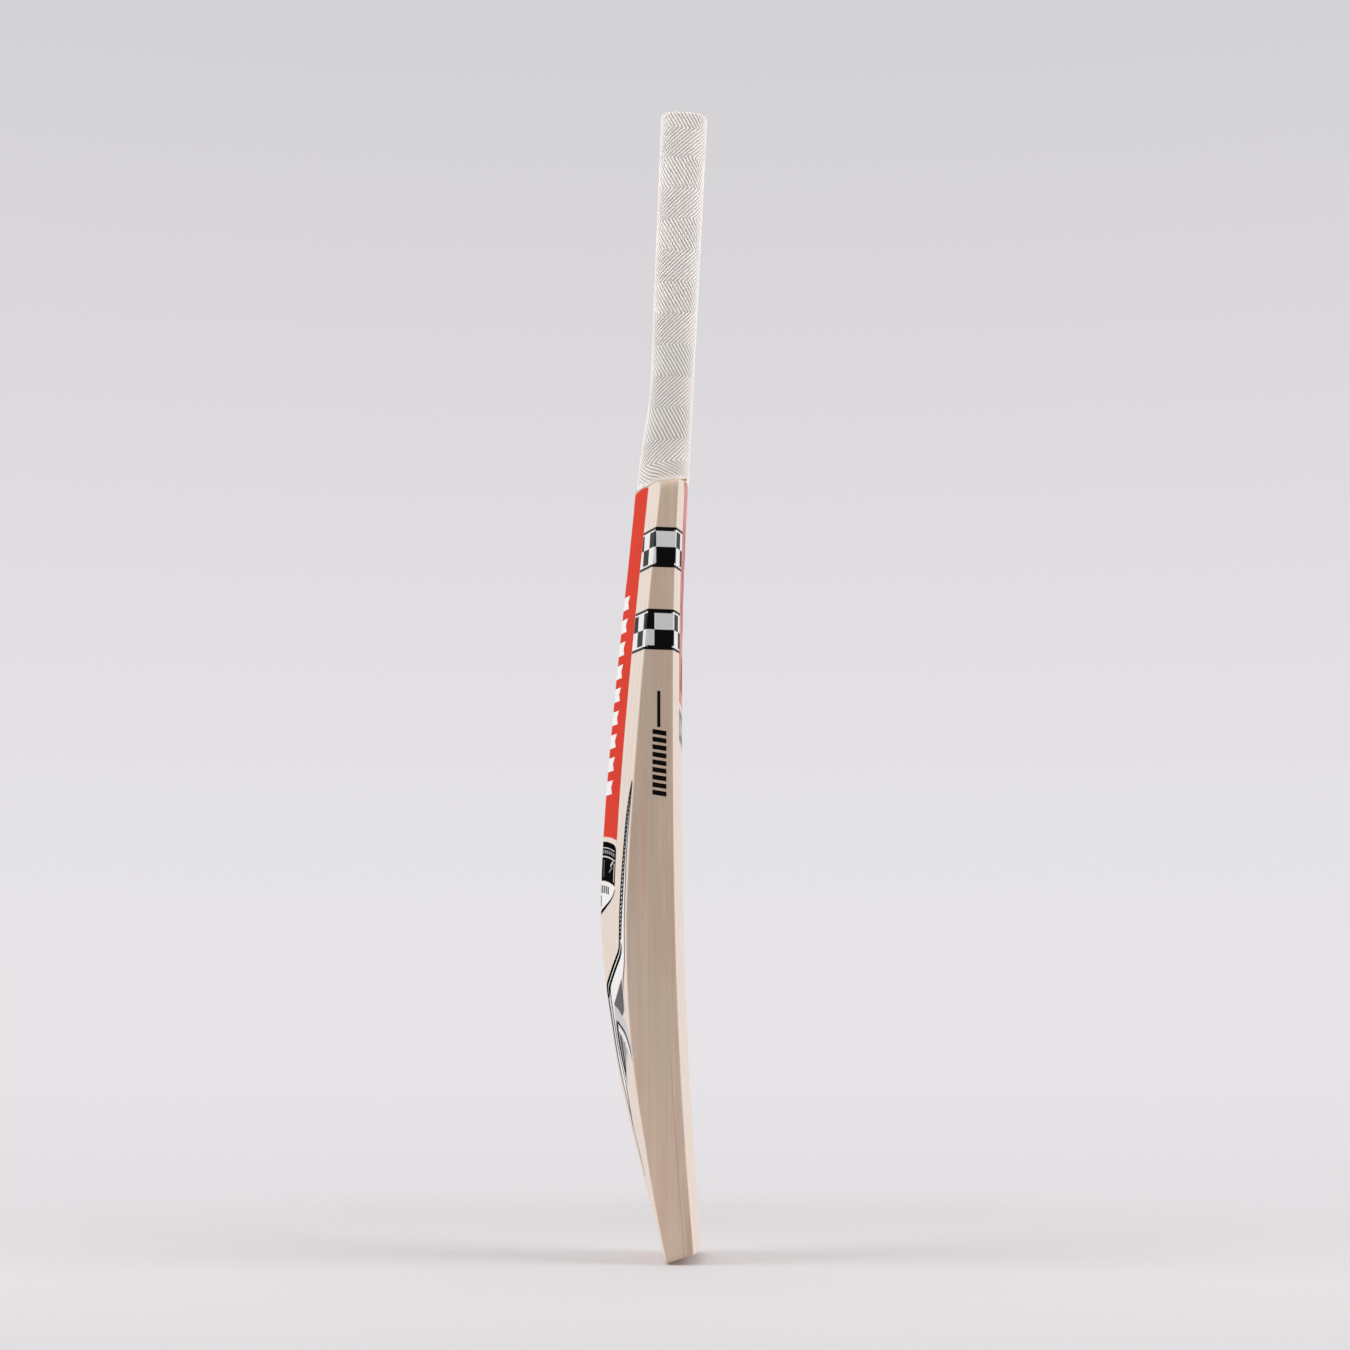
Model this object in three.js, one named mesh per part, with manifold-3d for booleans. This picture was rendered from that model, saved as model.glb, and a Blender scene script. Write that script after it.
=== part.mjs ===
// Full-size cricket bat with a short handle, as the pieces it is made of: a willow blade, a handle glued up
// from cane billets and rubber springs that runs down into the blade as a V splice, a twine binding, a rubber
// grip, and thin vinyl labels.
// Millimetres. Z runs from the toe up to the butt, X across the blade and Y through it. The hitting face looks
// towards -Y and the spine towards +Y. Left is -X, as seen by someone who looks at the hitting face.
import * as THREE from "three";
import { mergeVertices } from "three/addons/utils/BufferGeometryUtils.js";
import Module from "manifold-3d";

const wasm = await Module();
wasm.setup();

// ---- Driving dimensions -------------------------------------------------------------------------------------

const BAT_LENGTH = 847.5;
const CHORD_Y = -21.1; // the line from toe to butt, which centres the bat's box on Y = 0

// Blade. Heights of the long curves above the chord, as [z, y].
const HALF_WIDTH = 54;
const LOFT_BOTTOM = -10;
const LOFT_TOP = 570;
const STATION = 10;
const SPINE = [
  [0, 13.5], [60, 29.6], [120, 44.4], [175, 53.8], [205, 57.6], [235, 59.5],
  [270, 59.4], [320, 57], [400, 50.5], [480, 42.8], [560, 35],
];
const BACK_ARRIS = [
  [0, 10.8], [43, 19.7], [84, 26.5], [125, 32.9], [166, 37.1], [205, 39],
  [250, 39.1], [334, 34.5], [398, 29.7], [460, 24.3], [518, 18.7], [560, 14.5],
];
const FACE_CROWN_LINE = [
  [0, -13.1], [84, -6.7], [166, -2.1], [260, 0.6], [380, 1.5], [474, 0.6], [560, -3],
];
const CROWN_RISE = 1.8; // how far the face curves back between its middle and its sides
const FACE_TO_ARRIS = 5.1; // from the crown line back to where the flat edge starts
const FACE_EASE = 15; // beside the edge, the face falls away over this width
const FACE_EASE_POWER = 1.15;
const RIDGE_HALF = 7; // half the width over which the spine is rounded

// Toe and shoulders, both cut square across X and slanted along Y.
const TOE_SLANT = -0.306;
const TOE_REAR_Y = 13.5;
const TOE_CORNER = 4;
const SHOULDER_SLANT = -0.14;
const SHOULDER_MIDDLE_Y = 15;
const SHOULDER_ROOT = { x: 20, z: 558 };
const SHOULDER_END = { x: 48, z: 551.8 };
const SHOULDER_CORNER = { x: 53, z: 548.6 };
const SHOULDER_BOTTOM_Z = 543;

// V splice.
const SPLICE_TIP_Z = 415;
const SPLICE_TIP_HALF = 0.6;
const SPLICE_ROOT_HALF = 20.3;

// Handle: the grip's outer lines, from which everything under it is worked out.
const HANDLE_REF_Z = 842;
const GRIP_FACE = { at_ref: -17.9, per_mm: 0.0497 };
const GRIP_BACK = { at_ref: 17, per_mm: 0.0371 };
const GRIP_HALF_X = 16;
const ROOT_SWELL_BACK = { from: 640, amount: 7 };
const ROOT_SWELL_SIDE = { from: 592, amount: 6.9 };
const ROOT_HEIGHT = 84; // over this the handle's rings turn from the shoulders' slant to level
const GRIP_THICKNESS = 1.9;
const BINDING_THICKNESS = 0.8;
const BINDING_SETBACK = 5; // how far the binding stops short of the core's top
const GLUE_GAP = 0.3;
const BUTT_HOLE = 11;
const LIP_ROUND = 2;
const HANDLE_SQUARENESS = 3; // the power of the handle's superellipse, where 2 would be an ellipse
const BUTT_SLANT = 0.06; // the butt is square to the handle, which leans
const BUTT_REAR_Y = 17;
const BUTT_HEIGHT = 50; // over this the handle's rings turn from level to the butt's slant

// Handle core.
const SPRING_THICKNESS = 1.5;
const SPRING_PITCH = 6.5;
const MIDDLE_BILLET_HALF = 4.3;

// Labels.
const LABEL_GAP = 0.3;
const LABEL_THICKNESS = 0.3;
const BAND_SETBACK = 0.6; // between a band's ends and the labels beside it
const BACK_LABEL_HALF = 30;
const FACE_LABEL_HALF = 38.5;
const LABEL_TOP_Z = 552;
const FACE_LABEL_BOTTOM_Z = 392;
const FACE_STRIP = { top: 387, bottom: 363 };
const BACK_LABEL_BOTTOM_Z = 292.5;
const BADGE = { top: 291.5, bottom: 264 };
const SHIELD = { top: 263, bottom: 242, tipHalf: 1.5, curve: 1.6 };
const BANDS = { upper: [487, 516.5], lower: [427, 456.5] };
const EDGE_MARK = { bottom: 321, top: 397.5, y: 16.2, half: 5.2 };
// Side stripe on the back slope, as [z, x nearest the spine, x nearest the edge].
const SIDE_STRIPE = [
  [62, 11.5, 14.5], [100, 12, 24], [125, 10.5, 36], [145, 7.5, 48], [168, 7, 41],
  [191, 8.5, 46.5], [204, 22, 51.2], [219, 36, 51.6], [250, 40, 52.4], [292, 43, 52.6],
  [322, 47, 52.6], [334, 50.5, 52.4],
];

// ---- Curves and sections ------------------------------------------------------------------------------------

// A smooth curve through [x, y] points, carried on straight past its ends.
function smoothThrough(points) {
  const slope = (i, j) => (points[j][1] - points[i][1]) / (points[j][0] - points[i][0]);
  const last = points.length - 1;
  const tangents = points.map((_, i) => slope(Math.max(i - 1, 0), Math.min(i + 1, last)));
  return (x) => {
    if (x <= points[0][0]) return points[0][1] + tangents[0] * (x - points[0][0]);
    if (x >= points[last][0]) return points[last][1] + tangents[last] * (x - points[last][0]);
    const i = points.findIndex((p) => p[0] > x) - 1;
    const width = points[i + 1][0] - points[i][0];
    const t = (x - points[i][0]) / width;
    return (
      points[i][1] * (1 + 2 * t) * (1 - t) ** 2 +
      tangents[i] * width * t * (1 - t) ** 2 +
      points[i + 1][1] * t * t * (3 - 2 * t) +
      tangents[i + 1] * width * t * t * (t - 1)
    );
  };
}

function straightThrough(points, column) {
  return (x) => {
    const i = Math.min(Math.max(points.findIndex((p) => p[0] >= x), 1), points.length - 1);
    const t = (x - points[i - 1][0]) / (points[i][0] - points[i - 1][0]);
    return points[i - 1][column] + t * (points[i][column] - points[i - 1][column]);
  };
}

const spineY = smoothThrough(SPINE);
const backArrisY = smoothThrough(BACK_ARRIS);
const crownY = smoothThrough(FACE_CROWN_LINE);
const faceArrisY = (z) => crownY(z) + FACE_TO_ARRIS;
const faceY = (z, x) => crownY(z) + CROWN_RISE * (x / HALF_WIDTH) ** 2;

// The back: straight from each arris up to the spine, where a parabola rounds the ridge.
function backY(z, x) {
  const arris = backArrisY(z);
  const rise = (spineY(z) - arris) / (1 - RIDGE_HALF / (2 * HALF_WIDTH));
  const out = Math.abs(x);
  const flank = arris + rise * (1 - Math.max(out, RIDGE_HALF) / HALF_WIDTH);
  if (out >= RIDGE_HALF) return flank;
  return flank + (rise / HALF_WIDTH) * ((RIDGE_HALF ** 2 - out ** 2) / (2 * RIDGE_HALF));
}

const facePoint = (z) => (x) => [x, faceY(z, x)];
const backPoint = (z) => (x) => [x, backY(z, x)];

// How the face falls away to the flat edge, on the right side.
function faceEase(z) {
  const x0 = HALF_WIDTH - FACE_EASE;
  const y0 = faceY(z, x0);
  const depth = faceArrisY(z) - y0;
  return [0.2, 0.45, 0.75, 1].map((part) => [x0 + FACE_EASE * part, y0 + depth * part ** FACE_EASE_POWER]);
}

// Half of the blade's section, from the middle of the face round the right edge to the ridge.
function halfSection(z) {
  return [
    ...[0, 13, 26, HALF_WIDTH - FACE_EASE].map(facePoint(z)),
    ...faceEase(z),
    [HALF_WIDTH, backArrisY(z)],
    ...[BACK_LABEL_HALF, RIDGE_HALF, RIDGE_HALF / 2, 0].map(backPoint(z)),
  ];
}

const mirrored = (path) => path.map(([x, y]) => [-x, y]).reverse();

function wholeSection(z) {
  const right = halfSection(z);
  return [...right, ...mirrored(right.slice(1, -1))];
}

// Points along a path, moved outwards by a distance. The path runs anticlockwise as seen from the butt.
function movedOut(path, distance) {
  const normals = path.slice(1).map(([x, y], i) => {
    const along = new THREE.Vector2(x - path[i][0], y - path[i][1]).normalize();
    return new THREE.Vector2(along.y, -along.x);
  });
  return path.map(([x, y], i) => {
    const before = normals[Math.max(i - 1, 0)];
    const after = normals[Math.min(i, normals.length - 1)];
    const sum = before.clone().add(after).normalize();
    const reach = distance / sum.dot(after);
    return [x + sum.x * reach, y + sum.y * reach];
  });
}

function levels(from, to, step) {
  const count = Math.max(1, Math.round((to - from) / step));
  return Array.from({ length: count + 1 }, (_, i) => from + ((to - from) * i) / count);
}

const eased = (t) => {
  const u = Math.min(Math.max(t, 0), 1);
  return u * u * (3 - 2 * u);
};

// ---- Solids -------------------------------------------------------------------------------------------------

function geometryOf(points, faces) {
  const geometry = new THREE.BufferGeometry();
  geometry.setAttribute("position", new THREE.Float32BufferAttribute(points.flat(), 3));
  geometry.setIndex(faces.flat());
  return geometry;
}

// Skin over rings of equal length, stacked upwards and each running anticlockwise. The ends are closed by a fan,
// by a strip between the two halves of the ring, or by joining the last ring to the first. The two halves of a
// strip split their quads along the same lines, so that a thin sheet keeps its thickness.
function loft(rings, ends = "fan") {
  const n = rings[0].length;
  const faces = [];
  const joints = ends === "loop" ? rings.length : rings.length - 1;
  for (let r = 0; r < joints; r++) {
    const low = r * n;
    const high = ((r + 1) % rings.length) * n;
    for (let i = 0; i < n; i++) {
      const next = (i + 1) % n;
      const otherWay = ends === "strip" && i >= n / 2;
      if (otherWay) faces.push([low + i, low + next, high + i], [low + next, high + next, high + i]);
      else faces.push([low + i, low + next, high + next], [low + i, high + next, high + i]);
    }
  }
  const top = (rings.length - 1) * n;
  if (ends === "fan") {
    for (let i = 1; i < n - 1; i++) faces.push([0, i + 1, i], [top, top + i, top + i + 1]);
  }
  if (ends === "strip") {
    for (let i = 0; i < n / 2 - 1; i++) {
      const j = n - 1 - i;
      faces.push([i, j, i + 1], [i + 1, j, j - 1]);
      faces.push([top + i, top + i + 1, top + j], [top + i + 1, top + j - 1, top + j]);
    }
  }
  return geometryOf(rings.flat(), faces);
}

const ringAt = (path, z) => path.map(([x, y]) => [x, y, z]);

function solidOf(geometry) {
  const merged = mergeVertices(geometry, 1e-4);
  return new wasm.Manifold(
    new wasm.Mesh({
      numProp: 3,
      vertProperties: new Float32Array(merged.attributes.position.array),
      triVerts: new Uint32Array(merged.index.array),
    }),
  );
}

function geometryFrom(solid) {
  const mesh = solid.getMesh();
  const geometry = new THREE.BufferGeometry();
  geometry.setAttribute("position", new THREE.BufferAttribute(mesh.vertProperties, 3));
  geometry.setIndex(new THREE.BufferAttribute(mesh.triVerts, 1));
  return geometry;
}

// A prism through the whole thickness from an outline of [x, z, slant, middle], anticlockwise as seen from the
// face. The slant tilts that point's line along Y, and the line is at its stated height where y is its middle.
const THROUGH = { face: -60, back: 110 };

function prismThrough(outline) {
  const ringFor = (y) => outline.map(([x, z, slant = 0, middle = 0]) => [x, y, z + slant * (y - middle)]);
  return solidOf(loft([ringFor(THROUGH.back), ringFor(THROUGH.face)]));
}

// A ring of the handle, at a distance outside the grip's surface.
const RING_POINTS = 32;

const squared = (part) => Math.sign(part) * Math.abs(part) ** (2 / HANDLE_SQUARENESS);

function handleRing(z, grow) {
  const middle = (gripFaceY(z) + gripBackY(z)) / 2;
  const halfY = (gripBackY(z) - gripFaceY(z)) / 2 + grow;
  const halfX = gripHalfX(z) + grow;
  return Array.from({ length: RING_POINTS }, (_, i) => {
    const angle = (2 * Math.PI * i) / RING_POINTS;
    const y = middle + halfY * squared(Math.sin(angle));
    return [halfX * squared(Math.cos(angle)), y, z + tilt(z, y)];
  });
}

// ---- Handle lines -------------------------------------------------------------------------------------------

const lineY = (line, z) => line.at_ref + line.per_mm * (HANDLE_REF_Z - z);
const swell = (rule, z) => rule.amount * eased((rule.from - z) / (rule.from - SHOULDER_ROOT.z));
const gripFaceY = (z) => lineY(GRIP_FACE, z);
const gripBackY = (z) => lineY(GRIP_BACK, z) + swell(ROOT_SWELL_BACK, z);
const gripHalfX = (z) => GRIP_HALF_X + swell(ROOT_SWELL_SIDE, z);
const axisY = (z) => (lineY(GRIP_FACE, z) + lineY(GRIP_BACK, z)) / 2;

const GRIP_INSIDE = -GRIP_THICKNESS;
const BINDING_OUTSIDE = GRIP_INSIDE - GLUE_GAP;
const BINDING_INSIDE = BINDING_OUTSIDE - BINDING_THICKNESS;
const CORE_OUTSIDE = BINDING_INSIDE - GLUE_GAP;
const ROOT_STATIONS = [1, 7, 14, 22, 32, 46, 64, ROOT_HEIGHT].map((rise) => SHOULDER_ROOT.z + rise);
const STRAIGHT_STATIONS = [720, 800];
const CORE_TOP = BAT_LENGTH - GRIP_THICKNESS - GLUE_GAP;
const BINDING_TOP = CORE_TOP - BINDING_SETBACK;

// Rings lie along the shoulders at the bottom, level between and along the butt at the top.
function tilt(z, y) {
  const root = SHOULDER_SLANT * (1 - eased((z - SHOULDER_ROOT.z) / ROOT_HEIGHT));
  const butt = BUTT_SLANT * eased((z - BAT_LENGTH + BUTT_HEIGHT) / (BUTT_HEIGHT - LIP_ROUND));
  return root * (y - SHOULDER_MIDDLE_Y) + butt * (y - BUTT_REAR_Y);
}

function handleCoreLoft() {
  const stations = [SHOULDER_ROOT.z - 0.2, ...ROOT_STATIONS, ...STRAIGHT_STATIONS, CORE_TOP];
  return solidOf(loft(stations.map((z) => handleRing(z, CORE_OUTSIDE))));
}

function bindingGeometry() {
  const stations = [SHOULDER_ROOT.z + 1, ...ROOT_STATIONS.slice(1), ...STRAIGHT_STATIONS, BINDING_TOP];
  const outside = stations.map((z) => handleRing(z, BINDING_OUTSIDE));
  const inside = stations.map((z) => handleRing(z, BINDING_INSIDE)).reverse();
  return loft([...outside, ...inside], "loop");
}

function gripGeometry() {
  const stations = [SHOULDER_ROOT.z + GLUE_GAP, ...ROOT_STATIONS, ...STRAIGHT_STATIONS];
  const lip = [0, 0.35, 0.7, 1].map((part) => {
    const angle = (part * Math.PI) / 2;
    const z = BAT_LENGTH - LIP_ROUND * (1 - Math.sin(angle));
    return { z, grow: -LIP_ROUND * (1 - Math.cos(angle)) };
  });
  const hole = BUTT_HOLE - GRIP_HALF_X;
  const underside = BAT_LENGTH - GRIP_THICKNESS;
  return loft(
    [
      ...stations.map((z) => handleRing(z, 0)),
      ...lip.map(({ z, grow }) => handleRing(z, grow)),
      handleRing(BAT_LENGTH, hole),
      handleRing(underside, hole),
      handleRing(underside, GRIP_INSIDE),
      ...stations.map((z) => handleRing(z, GRIP_INSIDE)).reverse(),
    ],
    "loop",
  );
}

// ---- Blade and splice ---------------------------------------------------------------------------------------

function bladeLoft() {
  return solidOf(loft(levels(LOFT_BOTTOM, LOFT_TOP, STATION).map((z) => ringAt(wholeSection(z), z))));
}

// The front view of the blade: square toe with small round corners, straight sides, sloping shoulders.
function bladeOutline() {
  const toe = (x, z) => [x, z, TOE_SLANT, TOE_REAR_Y];
  const shoulder = ({ x, z }) => [x, z, SHOULDER_SLANT, SHOULDER_MIDDLE_Y];
  const corner = [0, 0.33, 0.67, 1].map((part) => {
    const angle = (part * Math.PI) / 2;
    return toe(
      HALF_WIDTH - TOE_CORNER * (1 - Math.sin(angle)),
      TOE_CORNER * (1 - Math.cos(angle)),
    );
  });
  const sideTop = { x: HALF_WIDTH, z: SHOULDER_BOTTOM_Z };
  const slope = [sideTop, SHOULDER_CORNER, SHOULDER_END, SHOULDER_ROOT];
  const right = [...corner, ...slope.map(shoulder)];
  return [...right, ...right.map(([x, ...rest]) => [-x, ...rest]).reverse()];
}

// The V of the splice, grown by a clearance and open well above the shoulders.
const SPLICE_OPEN_Z = SHOULDER_ROOT.z + 20;

function spliceOutline(clearance) {
  const slope = (SPLICE_ROOT_HALF - SPLICE_TIP_HALF) / (SHOULDER_ROOT.z - SPLICE_TIP_Z);
  const half = SPLICE_ROOT_HALF + slope * (SPLICE_OPEN_Z - SHOULDER_ROOT.z) + clearance;
  const tip = SPLICE_TIP_Z - clearance;
  const tipHalf = SPLICE_TIP_HALF + clearance;
  return [[-tipHalf, tip], [tipHalf, tip], [half, SPLICE_OPEN_Z], [-half, SPLICE_OPEN_Z]];
}

// Everything below the plane in which the shoulders meet the handle.
function belowShoulders() {
  const top = [SHOULDER_ROOT.z, SHOULDER_SLANT, SHOULDER_MIDDLE_Y];
  return [[-HALF_WIDTH, LOFT_BOTTOM], [HALF_WIDTH, LOFT_BOTTOM], [HALF_WIDTH, ...top], [-HALF_WIDTH, ...top]];
}

const blank = bladeLoft();
const bladeSolid = blank
  .intersect(prismThrough(bladeOutline()))
  .subtract(prismThrough(spliceOutline(GLUE_GAP)));
const handleSolid = blank
  .intersect(prismThrough(spliceOutline(0)))
  .intersect(prismThrough(belowShoulders()))
  .add(handleCoreLoft());

// A slab of the handle between two distances from its axis and two places across it.
const SLAB = { bottom: 400, top: 870, reach: 70 };

function slab(nearY, farY, nearX, farX) {
  const ringFor = (z) =>
    ringAt(
      [
        [nearX, axisY(z) + nearY],
        [farX, axisY(z) + nearY],
        [farX, axisY(z) + farY],
        [nearX, axisY(z) + farY],
      ],
      z,
    );
  return solidOf(loft([ringFor(SLAB.bottom), ringFor(SLAB.top)]));
}

const SPRING_HALF = SPRING_THICKNESS / 2;
const CANE_LAYERS = {
  face: [-SLAB.reach, -SPRING_PITCH - SPRING_HALF - GLUE_GAP],
  face_inner: [-SPRING_PITCH + SPRING_HALF + GLUE_GAP, -SPRING_HALF - GLUE_GAP],
  back_inner: [SPRING_HALF + GLUE_GAP, SPRING_PITCH - SPRING_HALF - GLUE_GAP],
  back: [SPRING_PITCH + SPRING_HALF + GLUE_GAP, SLAB.reach],
};
const CANE_COLUMNS = {
  left: [-SLAB.reach, -MIDDLE_BILLET_HALF - GLUE_GAP / 2],
  middle: [-MIDDLE_BILLET_HALF + GLUE_GAP / 2, MIDDLE_BILLET_HALF - GLUE_GAP / 2],
  right: [MIDDLE_BILLET_HALF + GLUE_GAP / 2, SLAB.reach],
};
const SPRINGS = { face: -SPRING_PITCH, middle: 0, back: SPRING_PITCH };

// ---- Labels -------------------------------------------------------------------------------------------------

// A thin label over the blade, from the path that it follows at each height.
function label(heights, pathAt) {
  const rings = heights.map((z) => {
    const path = pathAt(z);
    const outside = movedOut(path, LABEL_GAP + LABEL_THICKNESS);
    const inside = movedOut(path, LABEL_GAP).reverse();
    return ringAt([...outside, ...inside], z);
  });
  return loft(rings, "strip");
}

const across = (half, inner) => [-half, ...inner.map((x) => -x).reverse(), 0, ...inner, half];

const facePath = (half) => (z) => across(half, [13, 26]).map(facePoint(z));

const backPath = (halfAt) => (z) => {
  const half = halfAt(z);
  const inner = [Math.min(RIDGE_HALF / 2, half / 3), Math.min(RIDGE_HALF, half / 1.5)];
  return across(half, inner).reverse().map(backPoint(z));
};

// The chequered bands start beside the face label, wrap the edge and end beside the back label.
const bandPath = (z) => [
  facePoint(z)(FACE_LABEL_HALF + BAND_SETBACK),
  ...faceEase(z),
  [HALF_WIDTH, backArrisY(z)],
  backPoint(z)(BACK_LABEL_HALF + BAND_SETBACK),
];

const stripeIn = straightThrough(SIDE_STRIPE, 1);
const stripeOut = straightThrough(SIDE_STRIPE, 2);
const stripePath = (z) => {
  const near = stripeOut(z);
  const far = Math.max(stripeIn(z), RIDGE_HALF);
  return [near, (near + far) / 2, far].map(backPoint(z));
};
const stripeHeights = SIDE_STRIPE.slice(1).flatMap(([z], i) => {
  const from = SIDE_STRIPE[i][0];
  return levels(from, z, STATION).slice(i ? 1 : 0);
});

const edgeMarkPath = () => [
  [HALF_WIDTH, EDGE_MARK.y - EDGE_MARK.half],
  [HALF_WIDTH, EDGE_MARK.y + EDGE_MARK.half],
];

// The shield narrows along two curved sides to a point.
const shieldHalf = (z) => {
  const drop = (SHIELD.top - z) / (SHIELD.top - SHIELD.bottom);
  const bulge = Math.sqrt(Math.max(0, 1 - drop ** SHIELD.curve));
  return SHIELD.tipHalf + (BACK_LABEL_HALF - SHIELD.tipHalf) * bulge;
};

const shieldHeights = [0, 0.01, 0.03, 0.06, 0.1, 0.25, 0.45, 0.65, 0.82, 1].map(
  (part) => SHIELD.bottom + part * (SHIELD.top - SHIELD.bottom),
);

// ---- Assembly -----------------------------------------------------------------------------------------------

const FINISHES = {
  willow: { color: 0xe4d7cb, roughness: 0.6, metalness: 0 },
  cane: { color: 0xd9b981, roughness: 0.6, metalness: 0 },
  spring_rubber: { color: 0x2b2b2d, roughness: 0.8, metalness: 0 },
  twine: { color: 0xcfc3a6, roughness: 0.9, metalness: 0 },
  grip_rubber: { color: 0xe8e2df, roughness: 0.75, metalness: 0 },
  red_vinyl: { color: 0xde3e28, roughness: 0.35, metalness: 0 },
  black_vinyl: { color: 0x1a1a1c, roughness: 0.3, metalness: 0 },
  white_vinyl: { color: 0xf2f2f0, roughness: 0.3, metalness: 0 },
  grey_vinyl: { color: 0x9b9da0, roughness: 0.35, metalness: 0 },
};

const bat = new THREE.Group();
bat.name = "cricket_bat";
bat.position.y = CHORD_Y;

function addPiece(name, geometry, finish) {
  const material = new THREE.MeshStandardMaterial(FINISHES[finish]);
  const piece = new THREE.Mesh(geometry, material);
  piece.name = name;
  bat.add(piece);
  return piece;
}

function addHandle() {
  for (const [layer, [nearY, farY]] of Object.entries(CANE_LAYERS)) {
    for (const [column, [nearX, farX]] of Object.entries(CANE_COLUMNS)) {
      const billet = handleSolid.intersect(slab(nearY, farY, nearX, farX));
      addPiece(`cane_${layer}_${column}`, geometryFrom(billet), "cane");
    }
  }
  for (const [place, offset] of Object.entries(SPRINGS)) {
    const strip = slab(offset - SPRING_HALF, offset + SPRING_HALF, -SLAB.reach, SLAB.reach);
    addPiece(`rubber_spring_${place}`, geometryFrom(handleSolid.intersect(strip)), "spring_rubber");
  }
  addPiece("handle_binding", bindingGeometry(), "twine");
  addPiece("grip", gripGeometry(), "grip_rubber");
}

function addMiddleLabels() {
  const faceHeights = levels(FACE_LABEL_BOTTOM_Z, LABEL_TOP_Z, STATION);
  addPiece("face_label", label(faceHeights, facePath(FACE_LABEL_HALF)), "red_vinyl");
  const stripHeights = levels(FACE_STRIP.bottom, FACE_STRIP.top, STATION);
  addPiece("face_strip", label(stripHeights, facePath(FACE_LABEL_HALF)), "grey_vinyl");
  const fullWidth = backPath(() => BACK_LABEL_HALF);
  addPiece("back_label", label(levels(BACK_LABEL_BOTTOM_Z, LABEL_TOP_Z, STATION), fullWidth), "red_vinyl");
  addPiece("back_badge", label(levels(BADGE.bottom, BADGE.top, STATION), fullWidth), "black_vinyl");
  addPiece("back_shield", label(shieldHeights, backPath(shieldHalf)), "white_vinyl");
}

// Labels that come in pairs, one each side of the blade.
function addSideLabels() {
  const paired = {
    side_stripe: [stripeHeights, stripePath, "grey_vinyl"],
    edge_mark: [[EDGE_MARK.bottom, EDGE_MARK.top], edgeMarkPath, "black_vinyl"],
  };
  for (const [height, [bottom, top]] of Object.entries(BANDS)) {
    paired[`${height}_band`] = [levels(bottom, top, STATION), bandPath, "black_vinyl"];
  }
  for (const [name, [heights, pathAt, finish]] of Object.entries(paired)) {
    const geometry = label(heights, pathAt);
    addPiece(`${name}_right`, geometry, finish);
    addPiece(`${name}_left`, geometry, finish).scale.x = -1;
  }
}

addPiece("blade", geometryFrom(bladeSolid), "willow");
addHandle();
addMiddleLabels();
addSideLabels();

export default bat;
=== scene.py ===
import math

import bmesh
import bpy
import numpy as np
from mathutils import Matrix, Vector


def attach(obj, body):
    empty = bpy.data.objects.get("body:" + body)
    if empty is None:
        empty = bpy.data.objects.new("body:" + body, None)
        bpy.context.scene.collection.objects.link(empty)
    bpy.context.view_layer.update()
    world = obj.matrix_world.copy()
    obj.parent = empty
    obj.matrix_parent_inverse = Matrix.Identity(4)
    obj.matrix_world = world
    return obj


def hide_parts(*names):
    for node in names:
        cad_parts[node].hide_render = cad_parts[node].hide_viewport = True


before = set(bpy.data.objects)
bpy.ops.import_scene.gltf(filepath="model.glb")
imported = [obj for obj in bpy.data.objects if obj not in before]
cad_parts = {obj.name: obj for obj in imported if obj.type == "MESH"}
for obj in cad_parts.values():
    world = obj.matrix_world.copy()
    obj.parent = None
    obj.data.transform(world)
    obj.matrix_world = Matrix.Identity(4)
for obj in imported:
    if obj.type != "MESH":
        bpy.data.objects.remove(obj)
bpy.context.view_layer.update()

# A cricket bat. Lengths are millimetres on the chord, the straight line from the toe to the butt: x runs
# across the blade, y through it with the hitting face towards -y, and z up from the toe. Meshes are moved
# into the frame and turned into metres as they are made. Lights, floor and camera are in metres.
CHORD_Y = -21.1
MM = 0.001

# ---- Dimensions, the same as the solids' ----

HALF_WIDTH = 54.0
# (z, y) along the blade. These three lists were thinned from a measuring script's output, as report.md says.
SPINE = [
    (0, 13.5), (60, 29.6), (120, 44.4), (175, 53.8), (205, 57.6), (235, 59.5),
    (270, 59.4), (320, 57), (400, 50.5), (480, 42.8), (560, 35),
]
BACK_ARRIS = [
    (0, 10.8), (43, 19.7), (84, 26.5), (125, 32.9), (166, 37.1), (205, 39),
    (250, 39.1), (334, 34.5), (398, 29.7), (460, 24.3), (518, 18.7), (560, 14.5),
]
FACE_CROWN = [(0, -13.1), (84, -6.7), (166, -2.1), (260, 0.6), (380, 1.5), (474, 0.6), (560, -3)]
CROWN_RISE = 1.8
FACE_TO_ARRIS = 5.1
RIDGE_HALF = 7.0
TOE_SLANT, TOE_REAR_Y, TOE_CORNER = -0.306, 13.5, 4.0
SHOULDER_SLANT, SHOULDER_MIDDLE_Y, SHOULDER_ROOT_Z = -0.14, 15.0, 558.0
SPLICE_TIP_Z, SPLICE_TIP_HALF, SPLICE_ROOT_HALF, SPLICE_GAP = 415.0, 0.6, 20.3, 0.3
BAT_LENGTH = 847.5
HANDLE_REF_Z = 842.0
GRIP_FACE = (-17.9, 0.0497)  # y at HANDLE_REF_Z, and its change for each mm down
GRIP_BACK = (17.0, 0.0371)
GRIP_HALF_X = 16.0
SWELL_BACK = (640.0, 7.0)  # the height that the root's swell starts at, and its size at the root
SWELL_SIDE = (592.0, 6.9)
ROOT_HEIGHT = 84.0
GRIP_THICKNESS = 1.9
BUTT_HOLE = 11.0
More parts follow.
